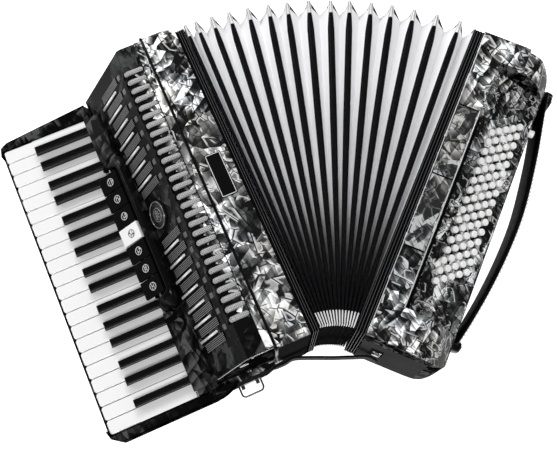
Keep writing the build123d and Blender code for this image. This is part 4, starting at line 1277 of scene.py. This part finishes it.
# strap brackets: a moulded cap with two screws on each block
sb_ = Mesh()
sc_ = Mesh()
for y0, y1, x0, x1, z0, z1 in ((411.0, 429.0, 114.0, 131.0, 69.0, 101.0), (40.0, 55.0, 112.0, 129.0, 71.0, 99.0)):
    n = 24
    cxm, cym, czm = (x0 + x1) / 2, (y0 + y1) / 2, (z0 + z1) / 2
    rows = []
    for t, sc in ((0.0, 0.985), (0.55, 0.985), (0.85, 0.93), (0.96, 0.8), (1.0, 0.6)):
        x = x0 + (x1 - x0) * t
        row = []
        for q in range(n):
            a = 2 * math.pi * q / n
            ca, sa = math.cos(a), math.sin(a)
            u = (abs(ca) ** 0.5) * (1 if ca >= 0 else -1) * (y1 - y0) / 2 * sc
            v = (abs(sa) ** 0.5) * (1 if sa >= 0 else -1) * (z1 - z0) / 2 * sc
            row.append(B(x, cym + u, czm + v))
        rows.append(row)
    base = sb_.grid(rows, 0, wrap_u=True)
    e = base + 4 * n
    sb_.f.append(tuple(range(e, e + n)))
    sb_.m.append(0)
    for dz in (-9.0, 9.0):
        sc_.lathe(B(x1 - 0.3, cym, czm + dz), BDIR(1, 0, 0), [(0.0022, 0.0), (0.0022, 0.0005), (0.0014, 0.0010), (0, 0.0011)], 16)
sb_.make("strap_bracket_caps", "black_gloss", "black_gloss", "bass", "strap_blocks", smooth=50)
sc_.make("strap_bracket_screws", "bar_grey", "steel", "bass", smooth=50)
# knurled strap wheel
wh = Mesh()
n = 48
wx, wz = 124.0, 85.0
rows = []
for y, r in ((429.4, 3.0), (429.4, 6.6), (429.9, 7.7), (434.4, 7.7), (434.95, 6.8), (434.95, 2.2), (434.3, 1.8), (434.3, 0.01)):
    row = []
    for q in range(n):
        a = 2 * math.pi * q / n
        rr = r + (0.22 if q % 2 else 0.0) if r > 7.5 else r
        row.append(B(wx + rr * math.cos(a), y, wz + rr * math.sin(a)))
    rows.append(row)
wh.grid(rows, 0, wrap_u=True)
rows = []
for y, r in ((424.2, 2.9), (429.5, 2.9)):
    rows.append([B(wx + r * math.cos(2 * math.pi * q / 20), y, wz + r * math.sin(2 * math.pi * q / 20)) for q in range(20)])
wh.grid(rows, 0, wrap_u=True)
wh.make("strap_wheel_knurled", "black_gloss", "steel", "strap_wheel", "strap_wheel", smooth=30)

# ------------------------------------------------------------------ rings
rg = Mesh()
ry = -5.6
pth = []
for cx_, cy_, a0 in ((-78.2, -17.0, 270), (-98.8, -17.0, 180)):
    for k in range(7):
        a = math.radians(a0 + 90 - 90 * k / 6)
        pth.append(T(cx_ + 5.2 * math.cos(a), cy_ + 5.2 * math.sin(a), 20))
pth = [T(-73.0, ry, 20)] + pth + [T(-104.0, ry, 20)]
rg.tube(pth, 0.0013, 10)
rg.tube([T(-73.0, ry, 20), T(-88, ry, 20), T(-104.0, ry, 20)], 0.0013, 10)
rg.make("ring_bottom_wire", "dark_chrome", "dark_chrome", "strap_ring_bottom", "strap_ring_bottom", smooth=60)
rg = Mesh()
for xc in (-100.0, -23.0):
    y0 = 440.0 + 4.2
    pth = []
    for cx_, cy_, a0 in ((xc + 10.3, y0 + 9.8, 0), (xc - 10.3, y0 + 9.8, 90)):
        for k in range(7):
            a = math.radians(a0 + 90 * k / 6)
            pth.append(T(cx_ + 5.2 * math.cos(a), cy_ + 5.2 * math.sin(a), 30))
    pth = [T(xc + 15.5, y0, 30)] + pth + [T(xc - 15.5, y0, 30)]
    rg.tube(pth, 0.0013, 10)
    rg.tube([T(xc + 15.5, y0, 30), T(xc, y0, 30), T(xc - 15.5, y0, 30)], 0.0013, 10)
rg.make("rings_top_wire", "dark_chrome", "dark_chrome", "strap_rings_top", "strap_rings_top", smooth=60)

# small plate with studs where the bottom strap meets the bass half, and a small fitting on the treble end
stp = Mesh()
stp.block(B, 22.0, 38.0, -2.6, 0.0, 88.0, 118.0)
stp.make("bass_strap_plate", "end_satin", "black_satin", "bass", bevel=0.0008, seg=2)
std = Mesh()
for x, z in ((26, 94), (34, 97), (30, 103), (26, 110), (34, 113)):
    std.lathe(B(x, -2.6, z), BDIR(0, -1, 0), [(0.0016, 0.0), (0.0015, 0.0006), (0.0009, 0.0011), (0, 0.0012)], 14)
std.make("bass_strap_studs", "chrome", "chrome", "bass", smooth=50)
std = Mesh()
std.block(T, -94, -83, -1.4, -0.2, 172, 180)
std.lathe(T(-76, 2.9, 182), TDIR(0, -1, 0.2), [(0.0021, 0.0), (0.0020, 0.0005), (0.0011, 0.0010), (0, 0.0011)], 16)
std.make("treble_end_fitting", "bar_grey", "chrome", "treble", bevel=0.0004, seg=2, smooth=50)

# ------------------------------------------------------------------ floor, light, camera
def plane(name, size, z, loc=(0, 0)):
    me = bpy.data.meshes.new(name)
    s = size
    me.from_pydata([(loc[0] - s, loc[1] - s, z), (loc[0] + s, loc[1] - s, z), (loc[0] + s, loc[1] + s, z), (loc[0] - s, loc[1] + s, z)], [], [(0, 1, 2, 3)])
    ob = bpy.data.objects.new(name, me)
    bpy.context.scene.collection.objects.link(ob)
    return ob


fl = plane("floor", 6.0, -0.0006)
gf = G("floor_white")
gf.set(Roughness=0.7)
gf.out(gf.ramp(gf.noise(2, 2), [(0.3, (0.90, 0.90, 0.90)), (0.7, (0.93, 0.93, 0.93))]))
gf.set(Emission_Color=(1, 1, 1, 1), Emission_Strength=0.78, Specular_IOR_Level=0.1)
fl.data.materials.append(gf.m)

world = bpy.data.worlds.new("studio")
bpy.context.scene.world = world
world.use_nodes = True
bg = world.node_tree.nodes["Background"]
bg.inputs["Color"].default_value = (1, 1, 1, 1)
bg.inputs["Strength"].default_value = 0.24


def area(name, loc, target, size, power, sy=None):
    l = bpy.data.lights.new(name, "AREA")
    l.shape = "RECTANGLE"
    l.size = size
    l.size_y = sy or size
    l.energy = power
    ob = bpy.data.objects.new(name, l)
    ob.location = loc
    d = Vector(target) - Vector(loc)
    ob.rotation_euler = d.to_track_quat("-Z", "Y").to_euler()
    bpy.context.scene.collection.objects.link(ob)
    return ob


area("key_light", (-0.15, -1.15, 2.25), (0.0, 0.05, 0.1), 0.9, 33, 0.7)
area("top_light", (-0.5, 2.2, 1.9), (0, 0.1, 0.1), 1.6, 46, 0.8)
area("side_light", (-2.0, 0.7, 1.7), (0, 0, 0.1), 1.0, 15)
area("rim_light", (2.1, 1.2, 1.5), (0, 0, 0.1), 0.9, 7)

AZ, EL, ROLL = math.radians(5.89), math.radians(73.79), math.radians(5.26)
fw = Vector((math.sin(AZ) * math.cos(EL), math.cos(AZ) * math.cos(EL), -math.sin(EL)))
rt = fw.cross(Vector((0, 0, 1))).normalized()
up = rt.cross(fw)
r2 = rt * math.cos(ROLL) + up * math.sin(ROLL)
u2 = -rt * math.sin(ROLL) + up * math.cos(ROLL)
cam = bpy.data.cameras.new("camera")
cam.sensor_fit = "HORIZONTAL"
cam.sensor_width = 36.0
cam.lens = 898.13 / 557 * 36.0
cam.shift_x = (278.5 - 299.43) / 557
cam.shift_y = (214.75 - 224.5) / 557
cam.clip_start = 0.05
cam.clip_end = 30
co = bpy.data.objects.new("camera", cam)
rot = Matrix((r2, u2, -fw)).transposed()
co.matrix_world = Matrix.Translation(W(-74.03, -160.89, 1250.0)) @ rot.to_4x4()
bpy.context.scene.collection.objects.link(co)
bpy.context.scene.camera = co
